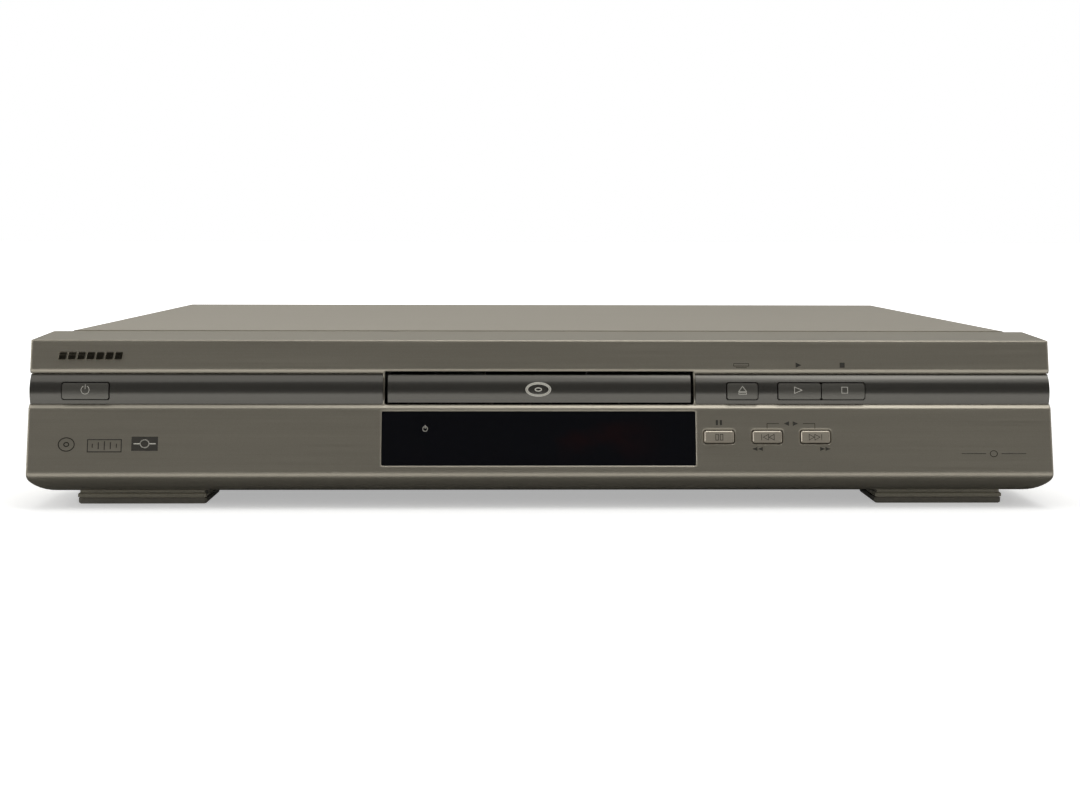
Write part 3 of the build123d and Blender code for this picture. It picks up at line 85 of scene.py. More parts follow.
# ---------------------------------------------------------------- print, in millimetres on the face
label_z = 59.8
open_label_x, play_label_x, stop_label_x = 84.0, 108.3, 126.9
pause_label = (74.1, 36.0)
skip_label = (104.5, 35.6)
search_label_z = 25.2
format_disc = (-198.7, 27.1)
format_frame = (-182.9, 26.6)
format_tile = (-166.2, 27.4)
corner_mark = (190.0, 23.2)
standby_mark = (-49.4, 33.4)
panel_symbol_z = 30.1
strip_step = 0.35

badge_bars = 7
badge_z = (61.8, 65.1)
badge_start, badge_pitch, badge_gap = -203.5, 3.9, 0.75
badge_round, badge_slant = 0.5, 0.18
badge_proud, badge_sunk = 0.45, 0.2

# ---------------------------------------------------------------- screws, in millimetres
screw_profile = [(2.9, 0.0), (2.9, 0.45), (2.72, 1.0), (2.35, 1.4), (1.85, 1.65), (1.5, 1.7)]
screw_sides = 32
screw_height = screw_profile[-1][1]
cross_reach, cross_half, cross_depth, cross_taper = 1.3, 0.28, 1.0, 0.6

# ---------------------------------------------------------------- the photograph's camera
camera_place = Vector((-13.86, -787.65, 114.46)) * mm
camera_yaw, camera_pitch, camera_roll = 0.0197522, -0.110701, 0.0023765
sensor_width = 36.0
photo_width, focal_pixels = 1080, 1532.36

# A Mix node's colour sockets, by their places in its lists.
mix_factor, mix_first, mix_second, mix_result = 0, 6, 7, 2


def srgb(red, green, blue):
    """Linear colour of a value written as it would look on a screen."""
    levels = [v / 255 for v in (red, green, blue)]
    linear = [v / 12.92 if v <= 0.04045 else ((v + 0.055) / 1.055) ** 2.4 for v in levels]
    return (*linear, 1.0)


def middle(node):
    low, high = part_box(node)
    return (low + high) / 2


# ---------------------------------------------------------------- materials
class Look:
    """One procedural material, built up from object coordinates in metres."""

    def __init__(self, name, color, metallic=0.0, roughness=0.5, **sockets):
        self.material = bpy.data.materials.new(name)
        self.material.use_nodes = True
        self.tree = self.material.node_tree
        self.shader = self.tree.nodes["Principled BSDF"]
        self.shader.inputs["Base Color"].default_value = color
        self.shader.inputs["Metallic"].default_value = metallic
        self.shader.inputs["Roughness"].default_value = roughness
        for socket, value in sockets.items():
            self.shader.inputs[socket.replace("_", " ")].default_value = value
        self.color = self.add("ShaderNodeRGB").outputs[0]
        self.color.default_value = color
        self.place = self.add("ShaderNodeTexCoord").outputs["Object"]

    def add(self, kind, **settings):
        made = self.tree.nodes.new(kind)
        for key, value in settings.items():
            setattr(made, key, value)
        return made

    def join(self, source, target):
        self.tree.links.new(source, target)

    def stretched(self, stretch):
        """Object coordinates, scaled per axis so that a pattern runs along one of them."""
        mapping = self.add("ShaderNodeMapping")
        mapping.inputs["Scale"].default_value = stretch
        self.join(self.place, mapping.inputs["Vector"])
        return mapping.outputs["Vector"]

    def noise(self, scale, stretch=(1, 1, 1), detail=3.0):
        noise = self.add("ShaderNodeTexNoise")
        noise.inputs["Scale"].default_value = scale
        noise.inputs["Detail"].default_value = detail
        self.join(self.stretched(stretch), noise.inputs["Vector"])
        return noise.outputs[0]

    def cells(self, scale, output="Color"):
        cells = self.add("ShaderNodeTexVoronoi")
        cells.inputs["Scale"].default_value = scale
        self.join(self.place, cells.inputs["Vector"])
        return cells.outputs[output]

    def waves(self, scale, direction):
        waves = self.add("ShaderNodeTexWave", bands_direction=direction)
        waves.inputs["Scale"].default_value = scale
        self.join(self.place, waves.inputs["Vector"])
        return waves.outputs["Fac"]

    def remap(self, value, start, end, low=0.0, high=1.0):
        ramp = self.add("ShaderNodeMapRange")
        limits = {"From Min": start, "From Max": end, "To Min": low, "To Max": high}
        for socket, number in limits.items():
            ramp.inputs[socket].default_value = number
        self.join(value, ramp.inputs["Value"])
        return ramp.outputs["Result"]

    def math(self, operation, first, second=0.0):
        made = self.add("ShaderNodeMath", operation=operation)
        for socket, value in zip(made.inputs, (first, second)):
            if isinstance(value, (int, float)):
                socket.default_value = value
            else:
                self.join(value, socket)
        return made.outputs[0]

    def axis(self, index):
        split = self.add("ShaderNodeSeparateXYZ")
        self.join(self.place, split.inputs[0])
        return split.outputs[index]

    def away(self, index, centre):
        """Distance from a point along one axis."""
        return self.math("ABSOLUTE", self.math("SUBTRACT", self.axis(index), centre[index]))

    def near(self, centre, radius, blur, axes=(0, 2)):
        """1 inside a circle about a point seen along the axis left out, 0 outside it."""
        offsets = [self.math("SUBTRACT", self.axis(a), centre[a]) for a in axes]
        squares = [self.math("MULTIPLY", o, o) for o in offsets]
        distance = self.math("SQRT", self.math("ADD", *squares))
        return self.remap(distance, radius - blur, radius + blur, 1.0, 0.0)

    def seen(self):
        """1 for what the camera, a mirror or clear glass shows, 0 for what only lights a surface."""
        path = self.add("ShaderNodeLightPath")
        mirrored = self.math("MAXIMUM", path.outputs["Is Camera Ray"], path.outputs["Is Glossy Ray"])
        return self.math("MAXIMUM", mirrored, path.outputs["Is Transmission Ray"])

    def blend(self, factor, color):
        """Mix another colour over the one so far."""
        mix = self.add("ShaderNodeMix", data_type="RGBA")
        self.join(factor, mix.inputs[mix_factor])
        self.join(self.color, mix.inputs[mix_first])
        mix.inputs[mix_second].default_value = color
        self.color = mix.outputs[mix_result]
        return self

    def shade(self, value, amount):
        """Darken and lighten the colour by a pattern."""
        level = self.remap(value, 0.3, 0.7, 1.0 - amount, 1.0 + amount)
        scaled = self.add("ShaderNodeVectorMath", operation="SCALE")
        self.join(self.color, scaled.inputs[0])
        self.join(level, scaled.inputs["Scale"])
        self.color = scaled.outputs[0]
        return self

    def rough(self, value, low, high):
        self.join(self.remap(value, 0.3, 0.7, low, high), self.shader.inputs["Roughness"])
        return self

    def bump(self, value, strength, height):
        bump = self.add("ShaderNodeBump")
        bump.inputs["Strength"].default_value = strength
        bump.inputs["Distance"].default_value = height
        self.join(value, bump.inputs["Height"])
        previous = self.shader.inputs["Normal"]
        if previous.is_linked:
            self.join(previous.links[0].from_socket, bump.inputs["Normal"])
        self.join(bump.outputs[0], previous)
        return self

    def round_edges(self, radius):
        """Shade sharp edges as if they were rounded; comes before any bump."""
        bevel = self.add("ShaderNodeBevel", samples=6)
        bevel.inputs["Radius"].default_value = radius
        self.join(bevel.outputs[0], self.shader.inputs["Normal"])
        return self

    def done(self):
        self.join(self.color, self.shader.inputs["Base Color"])
        return self.material


def metallic_paint(name, color, roughness, stretch, metallic=0.8, edge_round=0.0):
    """Metallic paint: fine flakes, and streaks along the axis that is scaled least."""
    look = Look(name, color, metallic, roughness)
    if edge_round:
        look.round_edges(edge_round)
    streaks = look.noise(1.0, stretch, 2.0)
    flakes = look.noise(2600.0, detail=1.0)
    look.shade(streaks, 0.025).shade(flakes, 0.04)
    look.shade(look.noise(9.0), 0.015)
    look.rough(streaks, roughness - 0.02, roughness + 0.03)
    look.bump(streaks, 0.02, 0.03 * mm).bump(flakes, 0.08, 0.02 * mm)
    return look.done()


def moulded(name, color, roughness, grain=1400.0, depth=0.25):
    """Moulded plastic with a fine spark-eroded grain and faint flow marks."""
    look = Look(name, color, 0.0, roughness)
    texture = look.noise(grain, detail=4.0)
    look.shade(texture, 0.08).shade(look.noise(14.0), 0.06)
    look.rough(texture, roughness - 0.06, roughness + 0.08)
    look.bump(texture, depth, 0.03 * mm)
    return look.done()


def zinc_sheet():
    """Zinc-plated sheet with faint spangle and rolling marks."""
    look = Look("zinc_sheet_look", srgb(186, 188, 188), 0.9, 0.32)
    spangle = look.add("ShaderNodeSeparateColor")
    look.join(look.cells(95.0), spangle.inputs[0])
    crystal = spangle.outputs[0]
    rolled = look.noise(1.0, (40, 900, 900), 2.0)
    look.shade(crystal, 0.09).shade(rolled, 0.05)
    look.rough(crystal, 0.26, 0.42).bump(rolled, 0.05, 0.02 * mm)
    return look.done()


def bare_metal(name, color, roughness, stretch):
    """Bare metal with fine lines along the axis that is scaled least."""
    look = Look(name, color, 0.95, roughness)
    lines = look.noise(1.0, stretch, 2.0)
    look.shade(lines, 0.10).rough(lines, roughness - 0.06, roughness + 0.10)
    look.bump(lines, 0.10, 0.02 * mm).shade(look.noise(60.0), 0.05)
    return look.done()


def window_look():
    """Smoked pane: nearly black and polished, with the dull red of the display behind it."""
    look = Look("window_look", srgb(8, 9, 14), 0.0, 0.10, Coat_Weight=0.3)
    low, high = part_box("display_window")
    half = (high - low) / 2
    glow = look.remap(look.noise(38.0, (1, 1, 1.6)), 0.52, 0.66)
    for axis, outer, inner in ((0, 0.8, 0.5), (2, 1.0, 0.3)):
        away = look.away(axis, middle("display_window"))
        fade = look.remap(away, outer * half[axis], inner * half[axis])
        glow = look.math("MULTIPLY", glow, fade)
    look.blend(glow, srgb(20, 9, 12))
    look.rough(look.noise(420.0), 0.07, 0.14)
    return look.done()


def circuit_board_look():
    """Green solder mask over copper tracks."""
    look = Look("circuit_board_look", srgb(28, 74, 42), 0.0, 0.32)
    tracks = look.math("GREATER_THAN", look.waves(260.0, "X"), 0.86)
    columns = look.math("GREATER_THAN", look.waves(190.0, "Y"), 0.90)
    patches = look.math("GREATER_THAN", look.noise(42.0, detail=1.0), 0.5)
    runs = look.math("MULTIPLY", look.math("MAXIMUM", tracks, columns), patches)
    look.blend(runs, srgb(60, 122, 62))
    pads = look.math("LESS_THAN", look.cells(210.0, output="Distance"), 0.16)
    look.blend(look.math("MULTIPLY", pads, patches), srgb(196, 198, 196))
    look.rough(runs, 0.28, 0.40).bump(runs, 0.4, 0.04 * mm)
    return look.done()


def jack_carrier_look():
    """Black carrier whose four cores are moulded in the usual yellow, orange, red and white."""
    look = Look("jack_carrier_look", srgb(26, 26, 27), 0.0, 0.45)
    grain = look.noise(1200.0)
    look.shade(grain, 0.10)
    shell_radius = 4.1 * mm
    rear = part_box("socket_metal")[1].y
    shells = [island for island in islands("socket_metal") if island[1].y > rear - mm]
    shells.sort(key=lambda shell: (shell[0].x, shell[0].z))
    colors = (srgb(214, 178, 32), srgb(205, 96, 30), srgb(186, 34, 30), srgb(226, 224, 216))
    for (low, high), color in zip(shells, colors):
        look.blend(look.near((low + high) / 2, shell_radius, 0.05 * mm), color)
    look.rough(grain, 0.36, 0.5).bump(grain, 0.2, 0.02 * mm)
    return look.done()


def turntable_look():
    """Black moulding with a soft grey ring where the disc rests."""
    look = Look("turntable_look", srgb(30, 30, 31), 0.0, 0.4)
    pad_outer, pad_inner = 14.6 * mm, 9.2 * mm
    centre = middle("turntable")
    discs = [look.near(centre, radius, 0.1 * mm, (0, 1)) for radius in (pad_outer, pad_inner)]
    look.blend(look.math("SUBTRACT", *discs), srgb(78, 78, 80))
    grain = look.noise(1500.0)
    look.shade(grain, 0.08).rough(grain, 0.35, 0.6).bump(grain, 0.2, 0.02 * mm)
    return look.done()


def ribbon_look():
    """White film with its flat conductors showing as fine lines."""
    look = Look("ribbon_look", srgb(222, 222, 216), 0.0, 0.35)
    wires = look.math("GREATER_THAN", look.waves(160.0, "X"), 0.55)
    look.blend(wires, srgb(176, 182, 186))
    look.rough(look.noise(300.0), 0.28, 0.42).bump(wires, 0.3, 0.03 * mm)
    return look.done()


def transformer_look():
    """Dark ferrite core round the middle of a taped yellow winding."""
    look = Look("transformer_look", srgb(44, 42, 42), 0.0, 0.55)
    winding_share = 0.56
    low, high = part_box("transformer")
    centre = (low + high) / 2
    tape = look.math("GREATER_THAN", look.away(1, centre), winding_share * (high.y - centre.y))
    look.blend(tape, srgb(208, 168, 52))
    laps = look.waves(120.0, "Z")
    look.shade(laps, 0.12).bump(laps, 0.3, 0.05 * mm)
    look.shade(look.noise(900.0), 0.06)
    return look.done()


def capacitor_look():
    """Shrunk dark sleeve with a pale stripe and a bare aluminium top."""
    look = Look("capacitor_look", srgb(24, 28, 46), 0.0, 0.32)
    top_share, stripe_half = 0.88, 2 * mm
    for low, high in islands("power_capacitors"):
        centre = (low + high) / 2
        radius = (high.x - low.x) / 2
        inside = look.near(centre, top_share * radius, 0.2 * mm, (0, 1))
        top = look.math("GREATER_THAN", look.axis(2), high.z - 0.3 * mm)
        look.blend(look.math("MULTIPLY", inside, top), srgb(178, 180, 182))
        side = Vector((centre.x - radius, centre.y, 0))
        look.blend(look.near(side, stripe_half, 0.1 * mm, (0, 1)), srgb(196, 198, 204))
    film = look.noise(260.0)
    look.shade(film, 0.05).rough(film, 0.24, 0.4).bump(film, 0.1, 0.03 * mm)
    return look.done()


def clear_look(name, color, roughness):
    """Clear glass or resin, with faint streaks in its polish."""
    look = Look(name, color, 0.0, roughness, Transmission_Weight=0.5, IOR=1.5)
    streaks = look.noise(700.0)
    look.shade(streaks, 0.05).rough(streaks, roughness, roughness + 0.06)
    return look.done()


def ink_look(name, color):
    """Screen-printed ink with the slightly uneven edge and sheen that it has."""
    look = Look(name, color, 0.0, 0.55)
    spread = look.noise(3200.0)
    look.shade(spread, 0.10).rough(spread, 0.45, 0.65)
    return look.done()


def islands(name):
    """(lowest, highest) corner of each separate solid in a CAD node, in a steady order."""
    mesh = bmesh.new()
    mesh.from_mesh(nodes[name].data)
    bmesh.ops.remove_doubles(mesh, verts=mesh.verts, dist=0.001 * mm)
    seen, found = set(), []
    for start in mesh.verts:
        if start in seen:
            continue
        stack, members = [start], []
        seen.add(start)
        while stack:
            vertex = stack.pop()
            members.append(vertex.co.copy())
            for edge in vertex.link_edges:
                other = edge.other_vert(vertex)
                if other not in seen:
                    seen.add(other)
                    stack.append(other)
        low = Vector([min(p[i] for p in members) for i in range(3)])
        high = Vector([max(p[i] for p in members) for i in range(3)])
        found.append((low, high))
    mesh.free()
    return sorted(found, key=lambda pair: tuple(round(v, 5) for v in pair[0]))


along_x = (14, 2200, 2200)
silver = metallic_paint("silver_look", srgb(163, 157, 143), 0.34, along_x, edge_round=1.3 * mm)
# The face's silver paint, made lighter and less metallic on the panel keys as a painted highlight of
# their convex fronts.
keys_painted_lighter = metallic_paint("key_paint_with_painted_highlight_look", srgb(172, 164, 149), 0.38, along_x, 0.65)
cover_paint = metallic_paint("cover_look", srgb(165, 159, 146), 0.42, (20, 1500, 1500), 0.75)
band_paint = metallic_paint("band_look", srgb(92, 90, 85), 0.24, along_x, 0.75)
band_key_paint = metallic_paint("band_key_look", srgb(96, 94, 88), 0.32, along_x, 0.6)
black_plastic = moulded("black_plastic_look", srgb(32, 32, 33), 0.48)
tray_plastic = moulded("tray_plastic_look", srgb(46, 46, 48), 0.44, 2100.0, 0.3)
foot_plastic = moulded("foot_plastic_look", srgb(142, 136, 119), 0.42)
rubber = moulded("rubber_look", srgb(112, 108, 97), 0.65, 900.0, 0.5)
acetal = moulded("acetal_look", srgb(226, 221, 206), 0.42, 700.0, 0.1)
screw_steel = bare_metal("screw_steel_look", srgb(172, 170, 160), 0.3, (900, 900, 900))
motor_steel = bare_metal("motor_steel_look", srgb(178, 178, 176), 0.28, (600, 600, 30))
rail_steel = bare_metal("rail_steel_look", srgb(206, 206, 204), 0.16, (900, 24, 900))
nickel = bare_metal("nickel_look", srgb(204, 198, 184), 0.22, (700, 60, 700))
casting = bare_metal("casting_look", srgb(140, 140, 142), 0.5, (500, 500, 500))
fin_aluminium = bare_metal("fin_aluminium_look", srgb(190, 191, 193), 0.4, (700, 30, 30))
badge_metal = bare_metal("badge_look", srgb(96, 92, 80), 0.22, (30, 900, 900))
zinc = zinc_sheet()
circuit_board = circuit_board_look()
dark_ink = ink_look("dark_ink_look", srgb(44, 41, 34))
light_ink = ink_look("light_ink_look", srgb(196, 193, 182))

looks = {
    "front_bezel": silver,
    "top_cover": cover_paint,
    "band_left": band_paint,
    "band_right": band_paint,
    "tray_door": band_paint,
    "display_window": window_look(),
    "chassis_base": zinc,
    "rear_panel": zinc,
    "clamper_bridge": zinc,
    "traverse_chassis": zinc,
    "front_feet": foot_plastic,
    "rear_feet": foot_plastic,
    "foot_pads": rubber,
    "pivot_bushes": rubber,
    "drive_belt": rubber,
    "case_screws": screw_steel,
    "inner_screws": screw_steel,
    "front_board": circuit_board,
    "key_board": circuit_board,
    "main_board": circuit_board,
    "power_board": circuit_board,
    "display_tube": clear_look("display_tube_look", srgb(120, 132, 130), 0.08),
    "standby_lamp": clear_look("lamp_look", srgb(178, 30, 26), 0.15),
    "pickup_lens": clear_look("lens_look", srgb(132, 150, 190), 0.06),
    "tact_switches": black_plastic,
    "remote_receiver": black_plastic,
    "decoder_chips": black_plastic,
    "s_video_jack": black_plastic,
    "optical_jack": black_plastic,
    "power_inlet": black_plastic,
    "av_jack_block": jack_carrier_look(),
    "loader_frame": black_plastic,
    "clamp_disc": black_plastic,
    "turntable": turntable_look(),
    "disc_tray": tray_plastic,
    "drive_gear": acetal,
    "pulley_gear": acetal,
    "motor_pulley": acetal,
    "cam_slider": acetal,
    "loading_motor": motor_steel,
    "spindle_motor": motor_steel,
    "feed_motor": motor_steel,
    "guide_rails": rail_steel,
    "feed_screw": rail_steel,
    "pickup_body": casting,
    "decoder_heatsink": fin_aluminium,
    "power_heatsink": fin_aluminium,
    "transformer": transformer_look(),
    "power_capacitors": capacitor_look(),
    "socket_metal": nickel,
    "front_ribbon": ribbon_look(),
}
looks.update({name + "_button": keys_painted_lighter for name in panel_keys})
looks.update({name + "_button": band_key_paint for name in band_keys})
for name, look in looks.items():
    nodes[name].data.materials.clear()
    nodes[name].data.materials.append(look)


# ---------------------------------------------------------------- surfaces that print lies on
def face_y(z):
    """The leaning face's depth at a height."""
    return face_foot_y + (z - face_foot_z) * tan(face_lean)


def panel_key_y(z):
    return face_y(z) - key_proud


def window_y(z):
    return face_y(z) + window_sunk


def over_print_y(z):
    """On top of the ink that already lies on the face."""
    return face_y(z) - ink


def band_y(z):
    """The convex band's depth at a height: an arc over a chord parallel to the face."""
    low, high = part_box("band_left")
    chord = (high.z - low.z) / cos(face_lean)
    radius = (chord**2 / 4 + band_bulge**2) / (2 * band_bulge)
    mid_z = (low.z + high.z) / 2
    mid_y = face_y(mid_z) + band_edge_depth
    centre_y = mid_y + (radius - band_bulge) * cos(face_lean)
    centre_z = mid_z - (radius - band_bulge) * sin(face_lean)
    return centre_y - sqrt(radius**2 - (z - centre_z) ** 2)


def band_key_y(z):
    return band_y(z) - band_key_proud


# ---------------------------------------------------------------- shapes of the print, in millimetres
def filled(points):
    """A filled, convex shape."""
    return ("fill", points)


def line(*points):
    return ("line", list(points))


def outline(points):
    return ("line", [*points, points[0]])


def ring(x, z, across, tall, start=0, end=360, steps=40):
    """An ellipse, or a part of one between two angles in degrees, drawn as a line."""
    turns = [radians(start + (end - start) * i / steps) for i in range(steps + 1)]
    return ("line", [(x + across / 2 * cos(a), z + tall / 2 * sin(a)) for a in turns])


def triangle(x, z, across, tall, way):
    """Corners of a triangle whose point looks left or right."""
    base_x = x - way * across / 2
    return [(base_x, z - tall / 2), (base_x, z + tall / 2), (x + way * across / 2, z)]


def rectangle(x, z, across, tall):
    return [(x + i * across / 2, z + j * tall / 2) for i, j in ((-1, -1), (1, -1), (1, 1), (-1, 1))]


def piece(name, data, body, look):
    made = bpy.data.objects.new(name, data)
    bpy.context.scene.collection.objects.link(made)
    made.data.materials.append(look)
    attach(made, body)
    return made


def printed(name, shapes, surface, body, look, width):
    """Lay filled shapes, and lines cut into short strips, on a surface as thin ink."""
    mesh = bmesh.new()

    def corner(x, z):
        height = z * mm
        return mesh.verts.new((x * mm, surface(height) - ink, height))

    for kind, points in shapes:
        if kind == "fill":
            mesh.faces.new([corner(*p) for p in points])
            continue
        for (ax, az), (bx, bz) in zip(points, points[1:]):
            length = sqrt((bx - ax) ** 2 + (bz - az) ** 2)
            ux, uz = (bx - ax) / length, (bz - az) / length
            pad = width / 2
            count = max(1, round((length + 2 * pad) / strip_step))
            rows = []
            for i in range(count + 1):
                along = -pad + (length + 2 * pad) * i / count
                x, z = ax + ux * along, az + uz * along
                rows.append((corner(x - uz * pad, z + ux * pad), corner(x + uz * pad, z - ux * pad)))
            for (a, b), (c, d) in zip(rows, rows[1:]):
                mesh.faces.new((a, b, d, c))
    for face in mesh.faces:
        face.normal_update()
        if face.normal.y > 0:
            face.normal_flip()
    data = bpy.data.meshes.new(name)
    mesh.to_mesh(data)
    mesh.free()
    return piece(name, data, body, look)


# ---------------------------------------------------------------- what is printed
def band_key_symbols():
    """Pale outlined symbols on the four keys in the band."""
    x = {name: middle(name + "_button").x / mm for name in band_keys}
    z = middle("band_left").z / mm - 0.2
    power = [ring(x["power"], z, 3.4, 3.4, 120, 420, 28)]
    power.append(line((x["power"], z + 0.5), (x["power"], z + 2.2)))
    centre, foot = x["open_close"], z - 0.6
    eject = [outline([(centre - 1.7, foot), (centre + 1.7, foot), (centre, z + 1.6)])]
    eject.append(outline(rectangle(centre, z - 1.4, 3.2, 0.7)))
    play = [outline(triangle(x["play"], z, 3.2, 2.7, 1))]
    stop = [outline(rectangle(x["stop"], z, 2.5, 2.5))]
    for name, shapes in zip(band_keys, (power, eject, play, stop)):
        printed(name + "_symbol", shapes, band_key_y, name + "_button", light_ink, 0.2)


def panel_key_symbols():
    """Dark outlined symbols on the three keys in the panel."""
    z = panel_symbol_z
    x = middle("pause_button").x / mm
    pause = [outline(rectangle(x + side * 0.95, z, 1.1, 2.4)) for side in (-1, 1)]
    printed("pause_symbol", pause, panel_key_y, "pause_button", dark_ink, 0.26)
    for name, way in (("skip_back", -1), ("skip_forward", 1)):
        button = name + "_button"
        x = middle(button).x / mm
        shapes = [outline(triangle(x + way * offset, z, 2.2, 2.3, way)) for offset in (-1.7, 0.7)]
        shapes.append(line((x + way * 2.5, z - 1.1), (x + way * 2.5, z + 1.1)))
        printed(name + "_symbol", shapes, panel_key_y, button, dark_ink, 0.24)


def key_labels():
    """Small signs above and below the keys, and the line that joins the two skip keys."""
    shapes = [outline(rectangle(open_label_x, label_z + 0.1, 6.4, 1.0))]
    shapes.append(line((open_label_x - 2.2, label_z - 1.1), (open_label_x + 2.2, label_z - 1.1)))
    shapes.append(filled(triangle(play_label_x, label_z, 2.4, 2.2, 1)))
    shapes.append(filled(rectangle(stop_label_x, label_z, 2.1, 2.1)))
    x, z = pause_label
    for side in (-1, 1):
        shapes.append(filled(rectangle(x + side * 0.85, z, 0.9, 2.1)))
    x, z = skip_label
    for way in (-1, 1):
        bend = x + way * 10.1
        shapes.append(filled(triangle(x + way * 1.9, z, 2.2, 1.9, way)))
        shapes.append(line((x + way * 5.2, z), (bend, z)))
        shapes.append(line((bend, z), (bend, z - 2.1)))
        for step in (0, 1):
            place = x + way * (13.2 + 2.25 * step)
            shapes.append(filled(triangle(place, search_label_z, 2.2, 1.6, way)))
    printed("face_symbols", shapes, face_y, "housing", dark_ink, 0.24)


def format_symbols():
    """Three plain pictograms: a disc, a row of levels and a dark tile with a ring."""
    x, z = format_disc
    dark = [ring(x, z, 6.6, 5.4), ring(x, z, 2.0, 1.6)]
    x, z = format_frame
    dark.append(outline(rectangle(x, z, 14.0, 5.0)))
    for step, tall in enumerate((1.2, 2.4, 3.2, 2.4, 1.2)):
        bar = x - 5.0 + 2.5 * step
        dark.append(line((bar, z - tall / 2), (bar, z + tall / 2)))
    x, z = format_tile
    dark.append(filled(rectangle(x, z, 11.0, 5.8)))
    printed("format_symbols", dark, face_y, "housing", dark_ink, 0.42)
    light = [ring(x, z, 3.6, 3.2), line((x - 4.4, z), (x - 1.8, z)), line((x + 1.8, z), (x + 4.4, z))]
    printed("format_symbol_light", light, over_print_y, "housing", light_ink, 0.4)


def single_marks():
    """The ring between two lines at the right, the disc on the door and the standby sign."""
    x, z = corner_mark
    mark = [ring(x, z, 3.0, 2.5), line((x + 3.4, z), (x + 13.6, z)), line((x - 13.5, z), (x - 3.4, z))]
    printed("corner_mark", mark, face_y, "housing", dark_ink, 0.28)
    x = middle("tray_door").x / mm - 0.5
    z = middle("band_left").z / mm
    disc = [ring(x, z, 10.4, 5.6), ring(x, z, 9.2, 4.6), ring(x, z, 2.6, 1.3)]
    printed("tray_symbol", disc, band_y, "tray", light_ink, 0.4)
    x, z = standby_mark
    standby = [ring(x, z, 2.0, 2.0, 120, 420, 24), line((x, z + 0.3), (x, z + 1.4))]
    printed("standby_symbol", standby, window_y, "housing", light_ink, 0.26)


def bar_outline(low_x, high_x):
    """Corners of a leaning, round-ended bar of the badge."""
    low_z, high_z = badge_z
    corners = (
        (high_x - badge_round, low_z + badge_round, -90),
        (high_x - badge_round, high_z - badge_round, 0),
        (low_x + badge_round, high_z - badge_round, 90),
        (low_x + badge_round, low_z + badge_round, 180),
    )
    points = []
    for x, z, start in corners:
        for step in range(5):
            angle = radians(start + 22.5 * step)
            corner_z = z + badge_round * sin(angle)
            corner_x = x + badge_round * cos(angle) + badge_slant * (corner_z - low_z)
            points.append((corner_x, corner_z))
    return points


def badge():
    """A row of plain raised bars where such a player carries its name."""
    mesh = bmesh.new()

    def corner(x, z, proud):
        return mesh.verts.new((x * mm, face_y(z * mm) - proud * mm, z * mm))

    for number in range(badge_bars):
        low_x = badge_start + badge_pitch * number
        points = bar_outline(low_x, low_x + badge_pitch - badge_gap)
        front = [corner(x, z, badge_proud) for x, z in points]
        back = [corner(x, z, -badge_sunk) for x, z in points]
        mesh.faces.new(front)
        mesh.faces.new(back[::-1])
        for i in range(len(points)):
            j = (i + 1) % len(points)
            mesh.faces.new((front[i], back[i], back[j], front[j]))
    bmesh.ops.recalc_face_normals(mesh, faces=mesh.faces)
    data = bpy.data.meshes.new("badge")
    mesh.to_mesh(data)
    mesh.free()
    rounded_edges(piece("badge", data, "housing", badge_metal), 0.16 * mm, 30)


def rounded_edges(made, width, angle=40):
    """A small round on edges sharper than an angle in degrees, where the light catches them."""
    bevel = made.modifiers.new("edge", "BEVEL")
    bevel.width = width
    bevel.segments = 2
    bevel.limit_method = "ANGLE"
    bevel.angle_limit = radians(angle)


# ---------------------------------------------------------------- screws
def screw_template():
    """Pan head with a cross recess, its seat at the origin and its top up."""
    mesh = bmesh.new()
    loops = []
    for radius, z in screw_profile:
        loop = []
        for i in range(screw_sides):
            angle = 2 * pi * i / screw_sides
            loop.append(mesh.verts.new((radius * mm * cos(angle), radius * mm * sin(angle), z * mm)))
        loops.append(loop)
    for below, above in zip(loops, loops[1:]):
        for i in range(screw_sides):
            j = (i + 1) % screw_sides
            mesh.faces.new((below[i], below[j], above[j], above[i]))
    arm, half = cross_reach * mm, cross_half * mm
    corners = [(arm, -half), (arm, half), (half, half), (half, arm), (-half, arm), (-half, half)]
    corners += [(-x, -y) for x, y in corners]
    top, foot = screw_height * mm, (screw_height - cross_depth) * mm
    rim = [mesh.verts.new((x, y, top)) for x, y in corners]
    deep = [mesh.verts.new((x * cross_taper, y * cross_taper, foot)) for x, y in corners]
    edges = []
    for i in range(len(rim)):
        j = (i + 1) % len(rim)
        edges.append(mesh.edges.new((rim[i], rim[j])))
        mesh.faces.new((rim[j], rim[i], deep[i], deep[j]))
    mesh.faces.new(deep)
    for i in range(screw_sides):
        edges.append(mesh.edges.get((loops[-1][i], loops[-1][(i + 1) % screw_sides])))
    bmesh.ops.triangle_fill(mesh, edges=edges, use_beauty=True)
    mesh.faces.new(loops[0][::-1])
    return mesh


def screws(name, facing_up=False):
    """Detailed heads in place of the CAD model's plain stubs."""
    template = screw_template()
    whole = bmesh.new()
    for number, (low, high) in enumerate(islands(name)):
        size = high - low
        axis = max(range(3), key=lambda i: size[i])
        centre = (low + high) / 2
        outward = Vector((0, 0, 0))
        outward[axis] = 1 if facing_up or centre[axis] > 0 else -1
        seat = centre.copy()
        seat[axis] = (high[axis] if outward[axis] > 0 else low[axis]) - outward[axis] * screw_height * mm
        turn = Vector((0, 0, 1)).rotation_difference(outward).to_matrix().to_4x4()
        spin = Matrix.Rotation(radians(17 + 53 * number), 4, "Z")
        copy = template.copy()
        bmesh.ops.transform(copy, matrix=Matrix.Translation(seat) @ turn @ spin, verts=copy.verts)
        temporary = bpy.data.meshes.new("temporary")
        copy.to_mesh(temporary)
        copy.free()
        whole.from_mesh(temporary)
        bpy.data.meshes.remove(temporary)
    for face in whole.faces:
        face.smooth = True
    data = bpy.data.meshes.new(name + "_heads")
    whole.to_mesh(data)
    whole.free()
    template.free()
    made = piece(name + "_heads", data, "housing", screw_steel)
    made.data.set_sharp_from_angle(angle=radians(35))
    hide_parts(name)


